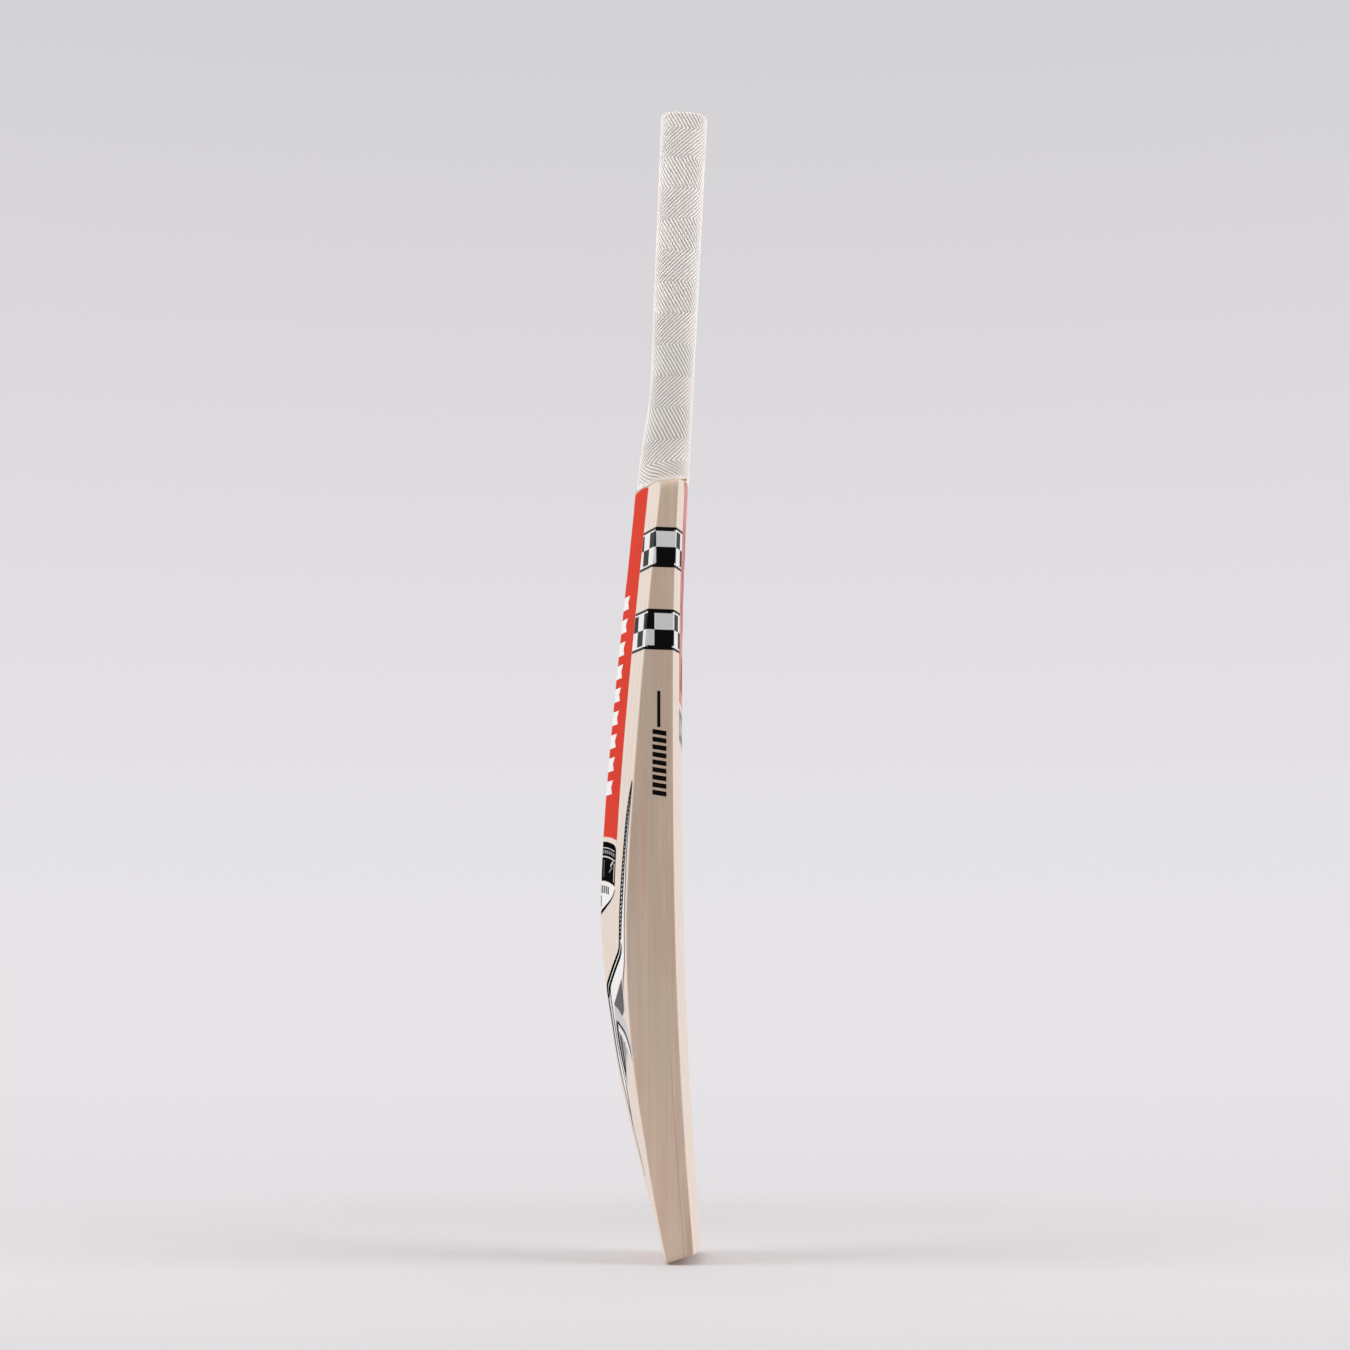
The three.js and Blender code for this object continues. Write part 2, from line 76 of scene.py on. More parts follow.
LIP_ROUND = 2.0
HANDLE_SQUARENESS = 3.0
BUTT_SLANT, BUTT_REAR_Y, BUTT_HEIGHT = 0.06, 17.0, 50.0
BINDING_OUT, BINDING_IN = 2.2, 3.0
BINDING_GAP, BINDING_SETBACK = 0.3, 5.0
BACK_SAG, BACK_SAG_Y, BACK_SAG_SPAN = 2.6, 17.0, 9.0
FACE_SAG, FACE_SAG_Y, FACE_SAG_SPAN = 1.6, 4.0, 7.0


def smooth_through(points):
    """A smooth curve through (x, y) points, carried on straight past its ends."""
    xs, ys = np.array(points, float).T
    last = len(xs) - 1
    before = np.maximum(np.arange(last + 1) - 1, 0)
    after = np.minimum(np.arange(last + 1) + 1, last)
    slopes = (ys[after] - ys[before]) / (xs[after] - xs[before])

    def at(x):
        x = np.asarray(x, float)
        inside = np.clip(x, xs[0], xs[-1])
        i = np.clip(np.searchsorted(xs, inside, side="right") - 1, 0, last - 1)
        width = xs[i + 1] - xs[i]
        t = (inside - xs[i]) / width
        y = (
            ys[i] * (1 + 2 * t) * (1 - t) ** 2
            + slopes[i] * width * t * (1 - t) ** 2
            + ys[i + 1] * t * t * (3 - 2 * t)
            + slopes[i + 1] * width * t * t * (t - 1)
        )
        past = x - inside
        return y + past * np.where(past < 0, slopes[0], slopes[-1])

    return at


def eased(t):
    t = np.clip(t, 0.0, 1.0)
    return t * t * (3 - 2 * t)


spine_y = smooth_through(SPINE)
back_arris_y = smooth_through(BACK_ARRIS)
crown_y = smooth_through(FACE_CROWN)


def face_arris_y(z):
    return crown_y(z) + FACE_TO_ARRIS


def face_y(z, x):
    return crown_y(z) + CROWN_RISE * (np.asarray(x) / HALF_WIDTH) ** 2


def back_y(z, x):
    """The back: straight from each arris up to the spine, where a parabola rounds the ridge."""
    arris = back_arris_y(z)
    rise = (spine_y(z) - arris) / (1 - RIDGE_HALF / (2 * HALF_WIDTH))
    out = np.abs(x)
    flank = arris + rise * (1 - np.maximum(out, RIDGE_HALF) / HALF_WIDTH)
    cap = (rise / HALF_WIDTH) * (RIDGE_HALF**2 - np.minimum(out, RIDGE_HALF) ** 2) / (2 * RIDGE_HALF)
    return flank + cap


def shoulder_sag(y):
    """The shoulders curve down towards the back and the face, and the grip's rim follows them."""
    back = BACK_SAG * eased((y - BACK_SAG_Y) / BACK_SAG_SPAN)
    face = FACE_SAG * eased((FACE_SAG_Y - y) / FACE_SAG_SPAN)
    return -back - face


# ---- Making meshes ----


def into_frame(points):
    points = np.asarray(points, float)
    return (points + np.array([0.0, CHORD_Y, 0.0])) * MM


def piece(name, points, faces, materials, indices=None, *, replaces, sharp, weld=0.0):
    """A mesh object from points in millimetres, riding on the bat."""
    mesh = bpy.data.meshes.new(name)
    mesh.from_pydata([tuple(p) for p in into_frame(points)], [], [tuple(f) for f in faces])
    for material in materials:
        mesh.materials.append(material)
    if indices is not None:
        mesh.polygons.foreach_set("material_index", np.asarray(indices, np.int32))
    bm = bmesh.new()
    bm.from_mesh(mesh)
    if weld:
        bmesh.ops.remove_doubles(bm, verts=bm.verts, dist=weld * MM)
        bmesh.ops.dissolve_degenerate(bm, edges=bm.edges, dist=weld * MM)
    bmesh.ops.recalc_face_normals(bm, faces=bm.faces)
    bm.to_mesh(mesh)
    bm.free()
    mesh.polygons.foreach_set("use_smooth", np.ones(len(mesh.polygons), bool))
    mesh.set_sharp_from_angle(angle=math.radians(sharp))
    mesh.update()
    made = bpy.data.objects.new(name, mesh)
    bpy.context.scene.collection.objects.link(made)
    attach(made, "root")
    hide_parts(*replaces)
    return made


def grid_faces(rows, columns, closed_rows=False, closed_columns=False):
    """Quads over a grid of points stored row by row."""
    faces = []
    for r in range(rows if closed_rows else rows - 1):
        for c in range(columns if closed_columns else columns - 1):
            low = r * columns
            high = ((r + 1) % rows) * columns
            right = (c + 1) % columns
            faces.append((low + c, low + right, high + right, high + c))
    return faces


# ---- Materials ----


def linear(red, green, blue):
    """A colour given in display values from 0 to 255, as the renderer's linear values."""
    values = [v / 255 for v in (red, green, blue)]
    return tuple(v / 12.92 if v <= 0.04045 else ((v + 0.055) / 1.055) ** 2.4 for v in values) + (1.0,)


def feed(tree, socket, value):
    if isinstance(value, bpy.types.NodeSocket):
        tree.links.new(value, socket)
    else:
        socket.default_value = value


def add_node(tree, kind, inputs=None, **properties):
    """A shader node whose inputs are linked to other nodes' outputs or set to values."""
    node = tree.nodes.new("ShaderNode" + kind)
    for key, value in properties.items():
        setattr(node, key, value)
    for key, value in (inputs or {}).items():
        feed(tree, node.inputs[key], value)
    return node


class Shader:
    """A material whose nodes are added by calls that each return an output."""

    def __init__(self, name, roughness=0.5, **sockets):
        self.material = bpy.data.materials.new(name)
        self.material.use_nodes = True
        self.tree = self.material.node_tree
        self.surface = self.tree.nodes["Principled BSDF"]
        self.surface.inputs["Roughness"].default_value = roughness
        for socket, value in sockets.items():
            self.surface.inputs[socket.replace("_", " ")].default_value = value
        object_space = self.put("TexCoord", out="Object")
        self.position = self.put("VectorMath", {0: object_space, 1: (1000.0,) * 3}, operation="MULTIPLY")

    def put(self, kind, inputs=None, out=0, **properties):
        return add_node(self.tree, kind, inputs, **properties).outputs[out]

    def set(self, socket, value):
        feed(self.tree, self.surface.inputs[socket], value)

    def math(self, operation, a, b=0.0, c=0.0):
        return self.put("Math", {0: a, 1: b, 2: c}, operation=operation)

    def axis(self, which):
        return self.put("SeparateXYZ", {0: self.position}, out=which)

    def noise(self, per_mm, detail=3.0, roughness=0.55):
        """Noise that varies by so many cells a millimetre along x, y and z."""
        scaled = self.put("VectorMath", {0: self.position, 1: per_mm}, operation="MULTIPLY")
        inputs = {"Vector": scaled, "Scale": 1.0, "Detail": detail, "Roughness": roughness}
        return self.put("TexNoise", inputs)

    def span(self, value, low, high, to_low=0.0, to_high=1.0):
        inputs = {"Value": value, "From Min": low, "From Max": high, "To Min": to_low, "To Max": to_high}
        return self.put("MapRange", inputs, interpolation_type="SMOOTHSTEP")

    def mix(self, share, a, b):
        return self.put("Mix", {0: share, 6: a, 7: b}, out=2, data_type="RGBA")

    def bump(self, height, depth_mm):
        self.set("Normal", self.put("Bump", {"Height": height, "Distance": depth_mm * MM, "Strength": 1.0}))


def willow_material():
    """Pale willow: straight growth lines down the faces, and on the edges and ends a soft streaky mottle."""
    s = Shader("willow", roughness=0.42, Specular_IOR_Level=0.5)
    x, y, z = (s.axis(a) for a in "XYZ")
    normal = s.put("TexCoord", out="Normal")
    sideways, upward = (s.put("SeparateXYZ", {0: normal}, out=a) for a in "XZ")
    turned = s.math("MAXIMUM", s.math("ABSOLUTE", sideways), s.math("ABSOLUTE", upward))
    on_edge = s.span(turned, 0.6, 0.8)

    sway = s.noise((0.012, 0.012, 0.004), detail=1.0)
    rings = s.math("FRACT", s.math("DIVIDE", s.math("MULTIPLY_ADD", sway, 7.0, x), 8.6))
    late = s.math("POWER", rings, 10.0)
    fibre = s.noise((1.6, 1.6, 0.012), detail=4.0, roughness=0.6)
    fine = s.noise((4.5, 4.5, 0.05), detail=2.0)
    broad = s.noise((0.10, 0.17, 0.0045), detail=2.0, roughness=0.5)
    warm = s.noise((0.08, 0.11, 0.009), detail=2.5, roughness=0.6)
    streak = s.noise((0.5, 0.75, 0.006), detail=3.0, roughness=0.6)
    cloud = s.noise((0.05, 0.05, 0.03), detail=3.0)

    cream = s.mix(s.span(fibre, 0.3, 0.7), linear(237, 223, 212), linear(232, 215, 202))
    cream = s.mix(s.math("MULTIPLY", late, 0.4), cream, linear(206, 172, 144))
    tan = s.mix(s.span(broad, 0.36, 0.62), linear(232, 206, 184), linear(221, 201, 180))
    tan = s.mix(s.math("MULTIPLY", s.span(warm, 0.45, 0.68), 0.75), tan, linear(222, 192, 174))
    tan = s.mix(s.math("MULTIPLY", s.span(streak, 0.46, 0.72), 0.4), tan, linear(206, 182, 160))
    tan = s.mix(s.math("MULTIPLY", s.span(cloud, 0.5, 0.75), 0.25), tan, linear(213, 182, 160))
    color = s.mix(on_edge, cream, tan)
    color = s.mix(s.math("MULTIPLY", s.span(fine, 0.55, 0.8), 0.14), color, linear(190, 158, 130))

    # One dark growth line runs beside the face along the lower part of each edge.
    across = s.put("Attribute", out="Fac", attribute_name="from_face")
    waver = s.noise((0.0, 0.0, 0.02), detail=1.0)
    off_line = s.math("ABSOLUTE", s.math("SUBTRACT", across, s.math("MULTIPLY_ADD", waver, 1.6, 5.6)))
    line = s.math("MULTIPLY", s.span(off_line, 0.7, 0.1), s.span(z, 190.0, 110.0))
    inside = s.math("MULTIPLY", s.span(across, 6.0, 3.0), s.span(z, 65.0, 15.0))
    shade = s.math("MAXIMUM", s.math("MULTIPLY", line, 0.35), s.math("MULTIPLY", inside, 0.3))
    color = s.mix(s.math("MULTIPLY", shade, on_edge), color, linear(160, 122, 102))

    s.set("Base Color", color)
    s.set("Roughness", s.span(fibre, 0.2, 0.8, 0.36, 0.5))
    s.bump(s.math("MULTIPLY_ADD", fibre, 0.7, s.math("MULTIPLY", fine, 0.3)), 0.05)
    return s.material


def cane_material():
    s = Shader("cane", roughness=0.5)
    fibre = s.noise((1.6, 1.6, 0.02), detail=4.0)
    dots = s.noise((2.8, 2.8, 0.01), detail=1.0)
    color = s.mix(s.span(fibre, 0.3, 0.7), linear(216, 190, 152), linear(198, 168, 126))
    color = s.mix(s.span(dots, 0.6, 0.72), color, linear(128, 92, 56))
    s.set("Base Color", color)
    s.bump(fibre, 0.08)
    return s.material


def dark_rubber_material():
    s = Shader("spring_rubber", roughness=0.8)
    grain = s.noise((1.2, 1.2, 1.2), detail=3.0)
    s.set("Base Color", s.mix(grain, linear(46, 46, 48), linear(70, 68, 68)))
    s.bump(grain, 0.05)
    return s.material


def twine_material():
    """Waxed flax: strands slant across each turn."""
    s = Shader("waxed_twine", roughness=0.7)
    strand = s.noise((1.6, 1.6, 4.5), detail=4.0)
    stain = s.noise((0.05, 0.05, 0.05), detail=2.0)
    color = s.mix(s.span(strand, 0.3, 0.7), linear(226, 214, 186), linear(176, 156, 120))
    s.set("Base Color", s.mix(s.math("MULTIPLY", stain, 0.3), color, linear(196, 172, 128)))
    s.bump(strand, 0.12)
    return s.material


def grip_material():
    """White moulded rubber, with painted shade at the bottom of its grooves."""
    s = Shader("grip_rubber", roughness=0.5, Specular_IOR_Level=0.5)
    groove_shade = s.put("Attribute", out="Fac", attribute_name="groove")
    grain = s.noise((3.5, 3.5, 3.5), detail=3.0)
    cloud = s.noise((0.05, 0.05, 0.03), detail=2.0)
    white = s.mix(cloud, linear(252, 250, 248), linear(247, 243, 240))
    white = s.mix(s.math("MULTIPLY", s.span(grain, 0.5, 0.8), 0.12), white, linear(226, 218, 214))
    # Painted shade: the base colour darkens with groove depth and stands in for the shade inside the grooves.
    s.set("Base Color", s.mix(s.span(groove_shade, 0.15, 0.95), white, linear(193, 179, 172)))
    s.set("Roughness", s.math("MULTIPLY_ADD", grain, 0.12, 0.42))
    s.bump(grain, 0.02)
    return s.material


def film_material(name, color, dull, roughness=0.3, specular=0.3, metallic=0.0):
    """Printed film with a faint orange peel and a little fading."""
    s = Shader(name, roughness, Specular_IOR_Level=specular, Metallic=metallic)
    color, dull = linear(*color), linear(*dull)
    peel = s.noise((0.9, 0.9, 0.5), detail=2.0)
    fade = s.noise((0.04, 0.04, 0.02), detail=3.0)
    speck = s.noise((2.5, 2.5, 2.5), detail=2.0)
    tone = s.mix(s.math("MULTIPLY", s.span(fade, 0.35, 0.75), 0.6), color, dull)
    s.set("Base Color", s.mix(s.math("MULTIPLY", s.span(speck, 0.6, 0.85), 0.25), tone, dull))
    s.set("Roughness", s.math("MULTIPLY_ADD", speck, 0.12, roughness - 0.06))
    s.bump(peel, 0.012)
    return s.material


WILLOW = willow_material()
CANE = cane_material()
SPRING_RUBBER = dark_rubber_material()
TWINE = twine_material()
GRIP_RUBBER = grip_material()
RED = film_material("red_film", (221, 52, 27), (210, 47, 25), roughness=0.45, specular=0.06)
DARK_RED = film_material("dark_red_film", (158, 34, 26), (146, 30, 24), roughness=0.45, specular=0.06)
INK = film_material("ink_film", (11, 11, 12), (17, 17, 18), roughness=0.5, specular=0.0)
BLACK = film_material("black_film", (12, 12, 13), (17, 17, 18), specular=0.1)
WHITE = film_material("white_film", (249, 248, 247), (240, 239, 238))
BAND_WHITE = film_material("band_white_film", (240, 239, 239), (232, 231, 231))
GREY = film_material("grey_film", (142, 142, 146), (122, 122, 126), specular=0.2)
SILVER = film_material("silver_film", (206, 206, 208), (190, 190, 193), roughness=0.35, specular=0.2)
DARK_GREY = film_material("dark_grey_film", (78, 78, 84), (66, 66, 71), specular=0.1)
GLOSSY_RED = film_material("glossy_red_film", (216, 50, 30), (204, 46, 28), roughness=0.25, specular=0.5)
FOIL = film_material("foil", (235, 235, 238), (215, 215, 219), metallic=1.0)

# ---- Blade ----

FACE_EASE = 16.0  # beside the edge, the face falls away over this width
FACE_SLOPE = 0.3
ARRIS_SOFT = 0.6
BACK_ARRIS_ROUND = 1.1
FACE_STEPS = [0, 0.12, 0.25, 0.38, 0.5, 0.62, 0.74, 0.85, 0.93, 0.975, 1]
EASE_STEPS = 8
CORNER_STEPS = [0.33, 0.67, 1.0]
WALL_STEPS = [0.06, 0.5, 0.94, 1.0]
ARRIS_STEPS = 5
BACK_STEPS = [0, 0.02, 0.045, 0.07, 0.1, 0.13, 0.165, 0.22, 0.3, 0.42, 0.56, 0.7, 0.82, 0.92, 0.975, 1]
COUNTS = [len(v) for v in (FACE_STEPS, CORNER_STEPS, WALL_STEPS, BACK_STEPS)]
RING_ENDS = np.cumsum([COUNTS[0], EASE_STEPS, COUNTS[1], COUNTS[2], ARRIS_STEPS, COUNTS[3] - 1])
TOE_LEVEL_FROM, TOE_LEVEL_SPAN = 5.0, 60.0  # over these heights the rings turn level above the toe,
SHOULDER_FROM, SHOULDER_SPAN = 470.0, 60.0  # take up the shoulders' slant,
SAG_FROM, SAG_SPAN = 535.0, 20.0  # and take up their sag
SURFACE_PASSES = 4  # a point's height and depth depend on each other, and settle in this many passes


def bezier(a, b, c, t):
    return a * (1 - t) ** 2 + b * 2 * t * (1 - t) + c * t * t


def half_ring(z, x_in, x_out, inset):
    """Half of the blade's section, from the middle of the face round the right edge to the back's middle.

    z holds each point's own height, one row for each ring. The rest are columns, one value for each ring."""
    ease_t, arris_t = (np.linspace(0, 1, steps + 1)[1:] for steps in (EASE_STEPS, ARRIS_STEPS))
    corner_t, wall_t = np.array(CORNER_STEPS), np.array(WALL_STEPS)
    room = x_out - x_in
    ease = np.minimum(FACE_EASE, 0.5 * room)
    turn = np.minimum(BACK_ARRIS_ROUND, 0.2 * room)
    x = np.zeros_like(z)
    y = np.zeros_like(z)

    part = slice(0, RING_ENDS[0])
    x_face = x_out - ease
    x[:, part] = x_in + (x_face - x_in) * np.array(FACE_STEPS)
    y[:, part] = face_y(z[:, part], x[:, part]) + inset

    part = slice(RING_ENDS[0], RING_ENDS[1])
    top = face_y(z[:, part], x_face) + inset
    wall_low = crown_y(z[:, part]) + FACE_TO_ARRIS
    end_x, end_y = x_out - ARRIS_SOFT, wall_low - FACE_SLOPE * ARRIS_SOFT
    x[:, part] = bezier(x_face, x_face + 0.22 * ease, end_x, ease_t)
    y[:, part] = bezier(top, top + 0.09 * (wall_low - top), end_y, ease_t)

    part = slice(RING_ENDS[1], RING_ENDS[2])
    wall_low = crown_y(z[:, part]) + FACE_TO_ARRIS
    x[:, part] = bezier(x_out - ARRIS_SOFT, x_out, x_out, corner_t)
    y[:, part] = bezier(wall_low - FACE_SLOPE * ARRIS_SOFT, wall_low, wall_low + ARRIS_SOFT, corner_t)

    part = slice(RING_ENDS[2], RING_ENDS[3])
    zp = z[:, part]
    low = crown_y(zp) + FACE_TO_ARRIS + ARRIS_SOFT
    high = back_y(zp, x_out) - inset - turn
    x[:, part] = x_out
    y[:, part] = low + (high - low) * wall_t

    part = slice(RING_ENDS[3], RING_ENDS[4])
    zp = z[:, part]
    corner = back_y(zp, x_out) - inset
    x_back = x_out - turn
    x[:, part] = bezier(x_out, x_out, x_back, arris_t)
    y[:, part] = bezier(corner - turn, corner, back_y(zp, x_back) - inset, arris_t)

    part = slice(RING_ENDS[4], RING_ENDS[5])
    x[:, part] = x_in + (x_back - x_in) * np.array(BACK_STEPS[:-1])[::-1]
    y[:, part] = back_y(z[:, part], x[:, part]) - inset
    return x, y


def slanted(t, y):
    """The actual height of a ring's point: rings lie along the slanted toe and shoulders, level between."""
    toe = TOE_SLANT * (1 - eased((t - TOE_LEVEL_FROM) / TOE_LEVEL_SPAN)) * (y - TOE_REAR_Y)
    shoulder = SHOULDER_SLANT * eased((t - SHOULDER_FROM) / SHOULDER_SPAN) * (y - SHOULDER_MIDDLE_Y)
    return t + toe + shoulder + shoulder_sag(y) * eased((t - SAG_FROM) / SAG_SPAN)


def blade_rings():
    """Rows of (height, inner x, outer x, inset), from the toe to the shoulders."""
    rows = []
    for height, inset in ((0.0, 1.0), (0.12, 0.55), (0.4, 0.2), (0.9, 0.02)):
        rows.append((height, 0.0, toe_half(height) - inset, inset))
    rows += [(h, 0.0, toe_half(h), 0.0) for h in (1.4, 2.1, 3.0, 4.0, 6.0, 9.0)]
    rows += [(h, 0.0, HALF_WIDTH, 0.0) for h in np.arange(13, 413, 5.0)]
    tip = SPLICE_TIP_Z - SPLICE_GAP
    rows.append((tip, 0.0, HALF_WIDTH, 0.0))
    rows += [(h, 0.0, HALF_WIDTH, 0.0) for h in np.arange(419, 543, 5.0)]
    rows += [(h, 0.0, x, 0.0) for x, h in shoulder_line()]
    return rows, tip


def toe_half(height):
    drop = max(0.0, 1 - height / TOE_CORNER)
    return HALF_WIDTH - TOE_CORNER * (1 - math.sqrt(1 - drop * drop))


def shoulder_line():
    """(x, height) down the rounded shoulder and along its slope to the splice."""
    start, corner, end = np.array([54.0, 543.5]), np.array([54.0, 551.4]), np.array([46.5, 552.4])
    curve = [bezier(start, corner, end, t) for t in np.linspace(0, 1, 12)]
    root = np.array([splice_half(SHOULDER_ROOT_Z - 0.1) + 0.4, SHOULDER_ROOT_Z - 0.1])
    return curve + [end + (root - end) * t for t in (0.2, 0.45, 0.7, 0.9, 1.0)]


def splice_half(z):
    grow = (SPLICE_ROOT_HALF - SPLICE_TIP_HALF) / (SHOULDER_ROOT_Z - SPLICE_TIP_Z)
    return SPLICE_TIP_HALF + grow * np.maximum(z - SPLICE_TIP_Z, 0) + SPLICE_GAP


def ring_points(heights, x_in, x_out, inset, placed=slanted):
    columns = [np.asarray(v, float)[:, None] for v in (heights, x_in, x_out, inset)]
    t, x_in, x_out, inset = columns
    z = np.repeat(t, RING_ENDS[-1], axis=1)
    for _ in range(SURFACE_PASSES):
        x, y = half_ring(z, x_in, x_out, inset)
        z = placed(t, y)
    return np.stack([x, y, z], axis=2)


def build_blade():
    rows, tip = blade_rings()
    heights = np.array([r[0] for r in rows])
    above = heights >= tip
    tip_row = int(np.argmax(above))
    x_in = splice_half(heights)
    rings = ring_points(heights, x_in, [r[2] for r in rows], [r[3] for r in rows])
    middle = np.zeros((tip_row + 1, 2, 3))
    for r in range(tip_row + 1):
        for side, y_of in ((0, face_y), (1, back_y)):
            inset = rows[r][3] * (1 if side == 0 else -1)
            z = heights[r]
            for _ in range(SURFACE_PASSES):
                y = float(y_of(z, 0.0)) + inset
                z = float(slanted(heights[r], y))
            middle[r, side] = (0.0, y, z)
    count = rings.shape[1]
    points = np.concatenate([rings.reshape(-1, 3), middle.reshape(-1, 3)])

    def ring(r, c):
        return r * count + c

    def centre(r, side):
        return len(rows) * count + r * 2 + side

    faces = grid_faces(len(rows), count)
    for r in range(tip_row):
        faces.append((centre(r, 0), ring(r, 0), ring(r + 1, 0), centre(r + 1, 0)))
        faces.append((ring(r, count - 1), centre(r, 1), centre(r + 1, 1), ring(r + 1, count - 1)))
    for r in range(tip_row, len(rows) - 1):
        faces.append((ring(r, count - 1), ring(r, 0), ring(r + 1, 0), ring(r + 1, count - 1)))
    faces.append((centre(tip_row, 0), ring(tip_row, 0), ring(tip_row, count - 1), centre(tip_row, 1)))
    faces.append(tuple(ring(len(rows) - 1, c) for c in range(count)))
    across = len(FACE_STEPS) - 1
    faces.append((centre(0, 0), centre(0, 1), ring(0, count - 1), ring(0, 0)))
    for c in range(across):
        faces.append((ring(0, c), ring(0, count - 1 - c), ring(0, count - 2 - c), ring(0, c + 1)))
    faces.append(tuple(ring(0, c) for c in range(across, count - across)))

    mirrored = points * np.array([-1.0, 1.0, 1.0])
    all_points = np.concatenate([points, mirrored])
    all_faces = faces + [tuple(i + len(points) for i in reversed(f)) for f in faces]
    made = piece(
        "willow_blade", all_points, all_faces, [WILLOW],
        replaces=["blade"], sharp=40, weld=0.001,
    )
    where = np.empty(len(made.data.vertices) * 3)
    made.data.vertices.foreach_get("co", where)
    where = where.reshape(-1, 3) / MM
    from_face = where[:, 1] - CHORD_Y - face_arris_y(where[:, 2])
    attribute = made.data.attributes.new("from_face", "FLOAT", "POINT")
    attribute.data.foreach_set("value", from_face.astype(np.float32))
    return made


# ---- Handle ----


def grip_face_y(z):
    return GRIP_FACE[0] + GRIP_FACE[1] * (HANDLE_REF_Z - z)


def grip_back_y(z):
    swell = SWELL_BACK[1] * eased((SWELL_BACK[0] - z) / (SWELL_BACK[0] - SHOULDER_ROOT_Z))
    return GRIP_BACK[0] + GRIP_BACK[1] * (HANDLE_REF_Z - z) + swell


def grip_half_x(z):
    return GRIP_HALF_X + SWELL_SIDE[1] * eased((SWELL_SIDE[0] - z) / (SWELL_SIDE[0] - SHOULDER_ROOT_Z))


TURN = np.linspace(0, 2 * np.pi, 1441)
SAG_FADE = 30.0  # the grip loses the shoulders' sag over this height


def squared(part):
    return np.sign(part) * np.abs(part) ** (2 / HANDLE_SQUARENESS)


def tilt(z, y):
    """How far a ring's point is above z: rings lie along the shoulders at the bottom, the butt at the top."""
    root = SHOULDER_SLANT * (1 - eased((z - SHOULDER_ROOT_Z) / ROOT_HEIGHT))
    butt = BUTT_SLANT * eased((z - BAT_LENGTH + BUTT_HEIGHT) / (BUTT_HEIGHT - LIP_ROUND))
    sag = shoulder_sag(y) * (1 - eased((z - SHOULDER_ROOT_Z) / SAG_FADE))
    return root * (y - SHOULDER_MIDDLE_Y) + sag + butt * (y - BUTT_REAR_Y)


def handle_points(z, around, grow):
    """Points on the handle's squarish ring at height z. around is the share of the way round by length, and
    grow how far outside the grip's surface they are. Both are arrays with a row for each height in z."""
    z = np.asarray(z, float)[:, None]
    half_x, half_y = grip_half_x(z), (grip_back_y(z) - grip_face_y(z)) / 2
    middle = (grip_back_y(z) + grip_face_y(z)) / 2
    table_x, table_y = half_x * squared(np.cos(TURN)), half_y * squared(np.sin(TURN))
    step = np.hypot(np.diff(table_x, axis=1), np.diff(table_y, axis=1))
    length = np.concatenate([np.zeros((len(z), 1)), np.cumsum(step, axis=1)], axis=1)
    length /= length[:, -1:]
    x, y = (
        np.array([np.interp(np.mod(a, 1.0), row, values) for a, row, values in zip(around, length, table)])
        for table in (table_x, table_y)
    )
    power = HANDLE_SQUARENESS - 1
    nx = np.sign(x) * np.abs(x / half_x) ** power / half_x
    ny = np.sign(y) * np.abs(y / half_y) ** power / half_y
    size = np.hypot(nx, ny)
    x, y = x + grow * nx / size, middle + y + grow * ny / size
    return np.stack([x, y, z + tilt(z, y)], axis=2)


COLUMNS = 420  # a whole number to each ridge in both kinds of band
MANY_RIDGES, FEW_RIDGES = 42, 35  # round the handle, in the bands that lean one way and the other
GROOVE_DEPTH = 0.5
BAND_TOP, BAND_PITCH, LAST_BAND_Z = 834.8, 24.35, 573.5
LEAN_ONE_WAY, LEAN_OTHER_WAY, SKIRT_LEAN = 1.0, -0.6, -1.6  # mm round towards the face for each mm up
BAND_COUNT, ROWS_A_BAND = 11, 10
RIM_Z = SHOULDER_ROOT_Z + 0.3


def grip_rows():
    """(height, grow, groove share, lean, ridges) for each row of the grip's outside, from butt to rim."""
    rows = []
    edges = [BAND_TOP - BAND_PITCH * k for k in range(BAND_COUNT)] + [LAST_BAND_Z, RIM_Z + 1.2]
    for share in np.linspace(0, 1, 7):
        angle = share * math.pi / 2
        grow = -LIP_ROUND * (1 - math.sin(angle))
        fade = 0.25 + 0.75 * eased(share / 0.6)
        rows.append((BAT_LENGTH - LIP_ROUND * (1 - math.cos(angle)), grow, fade, LEAN_OTHER_WAY, MANY_RIDGES))
    start = rows[-1][0]
    spans = list(zip([start] + edges[:-1], edges))
    for k, (top, bottom) in enumerate(spans):
        lean, ridges = (LEAN_OTHER_WAY, MANY_RIDGES) if k % 2 == 0 else (LEAN_ONE_WAY, FEW_RIDGES)
        if k == len(spans) - 1:
            lean, ridges = SKIRT_LEAN, FEW_RIDGES
        for share in np.linspace(0, 1, ROWS_A_BAND)[0 if k else 1:]:
            z = top + (bottom - top) * share - (0.25 if k and share == 0 else 0.0)
            fade = 0.3 + 0.7 * eased((z - RIM_Z - 1.0) / 4.0)
            rows.append((z, 0.0, fade, lean, ridges))
    return rows


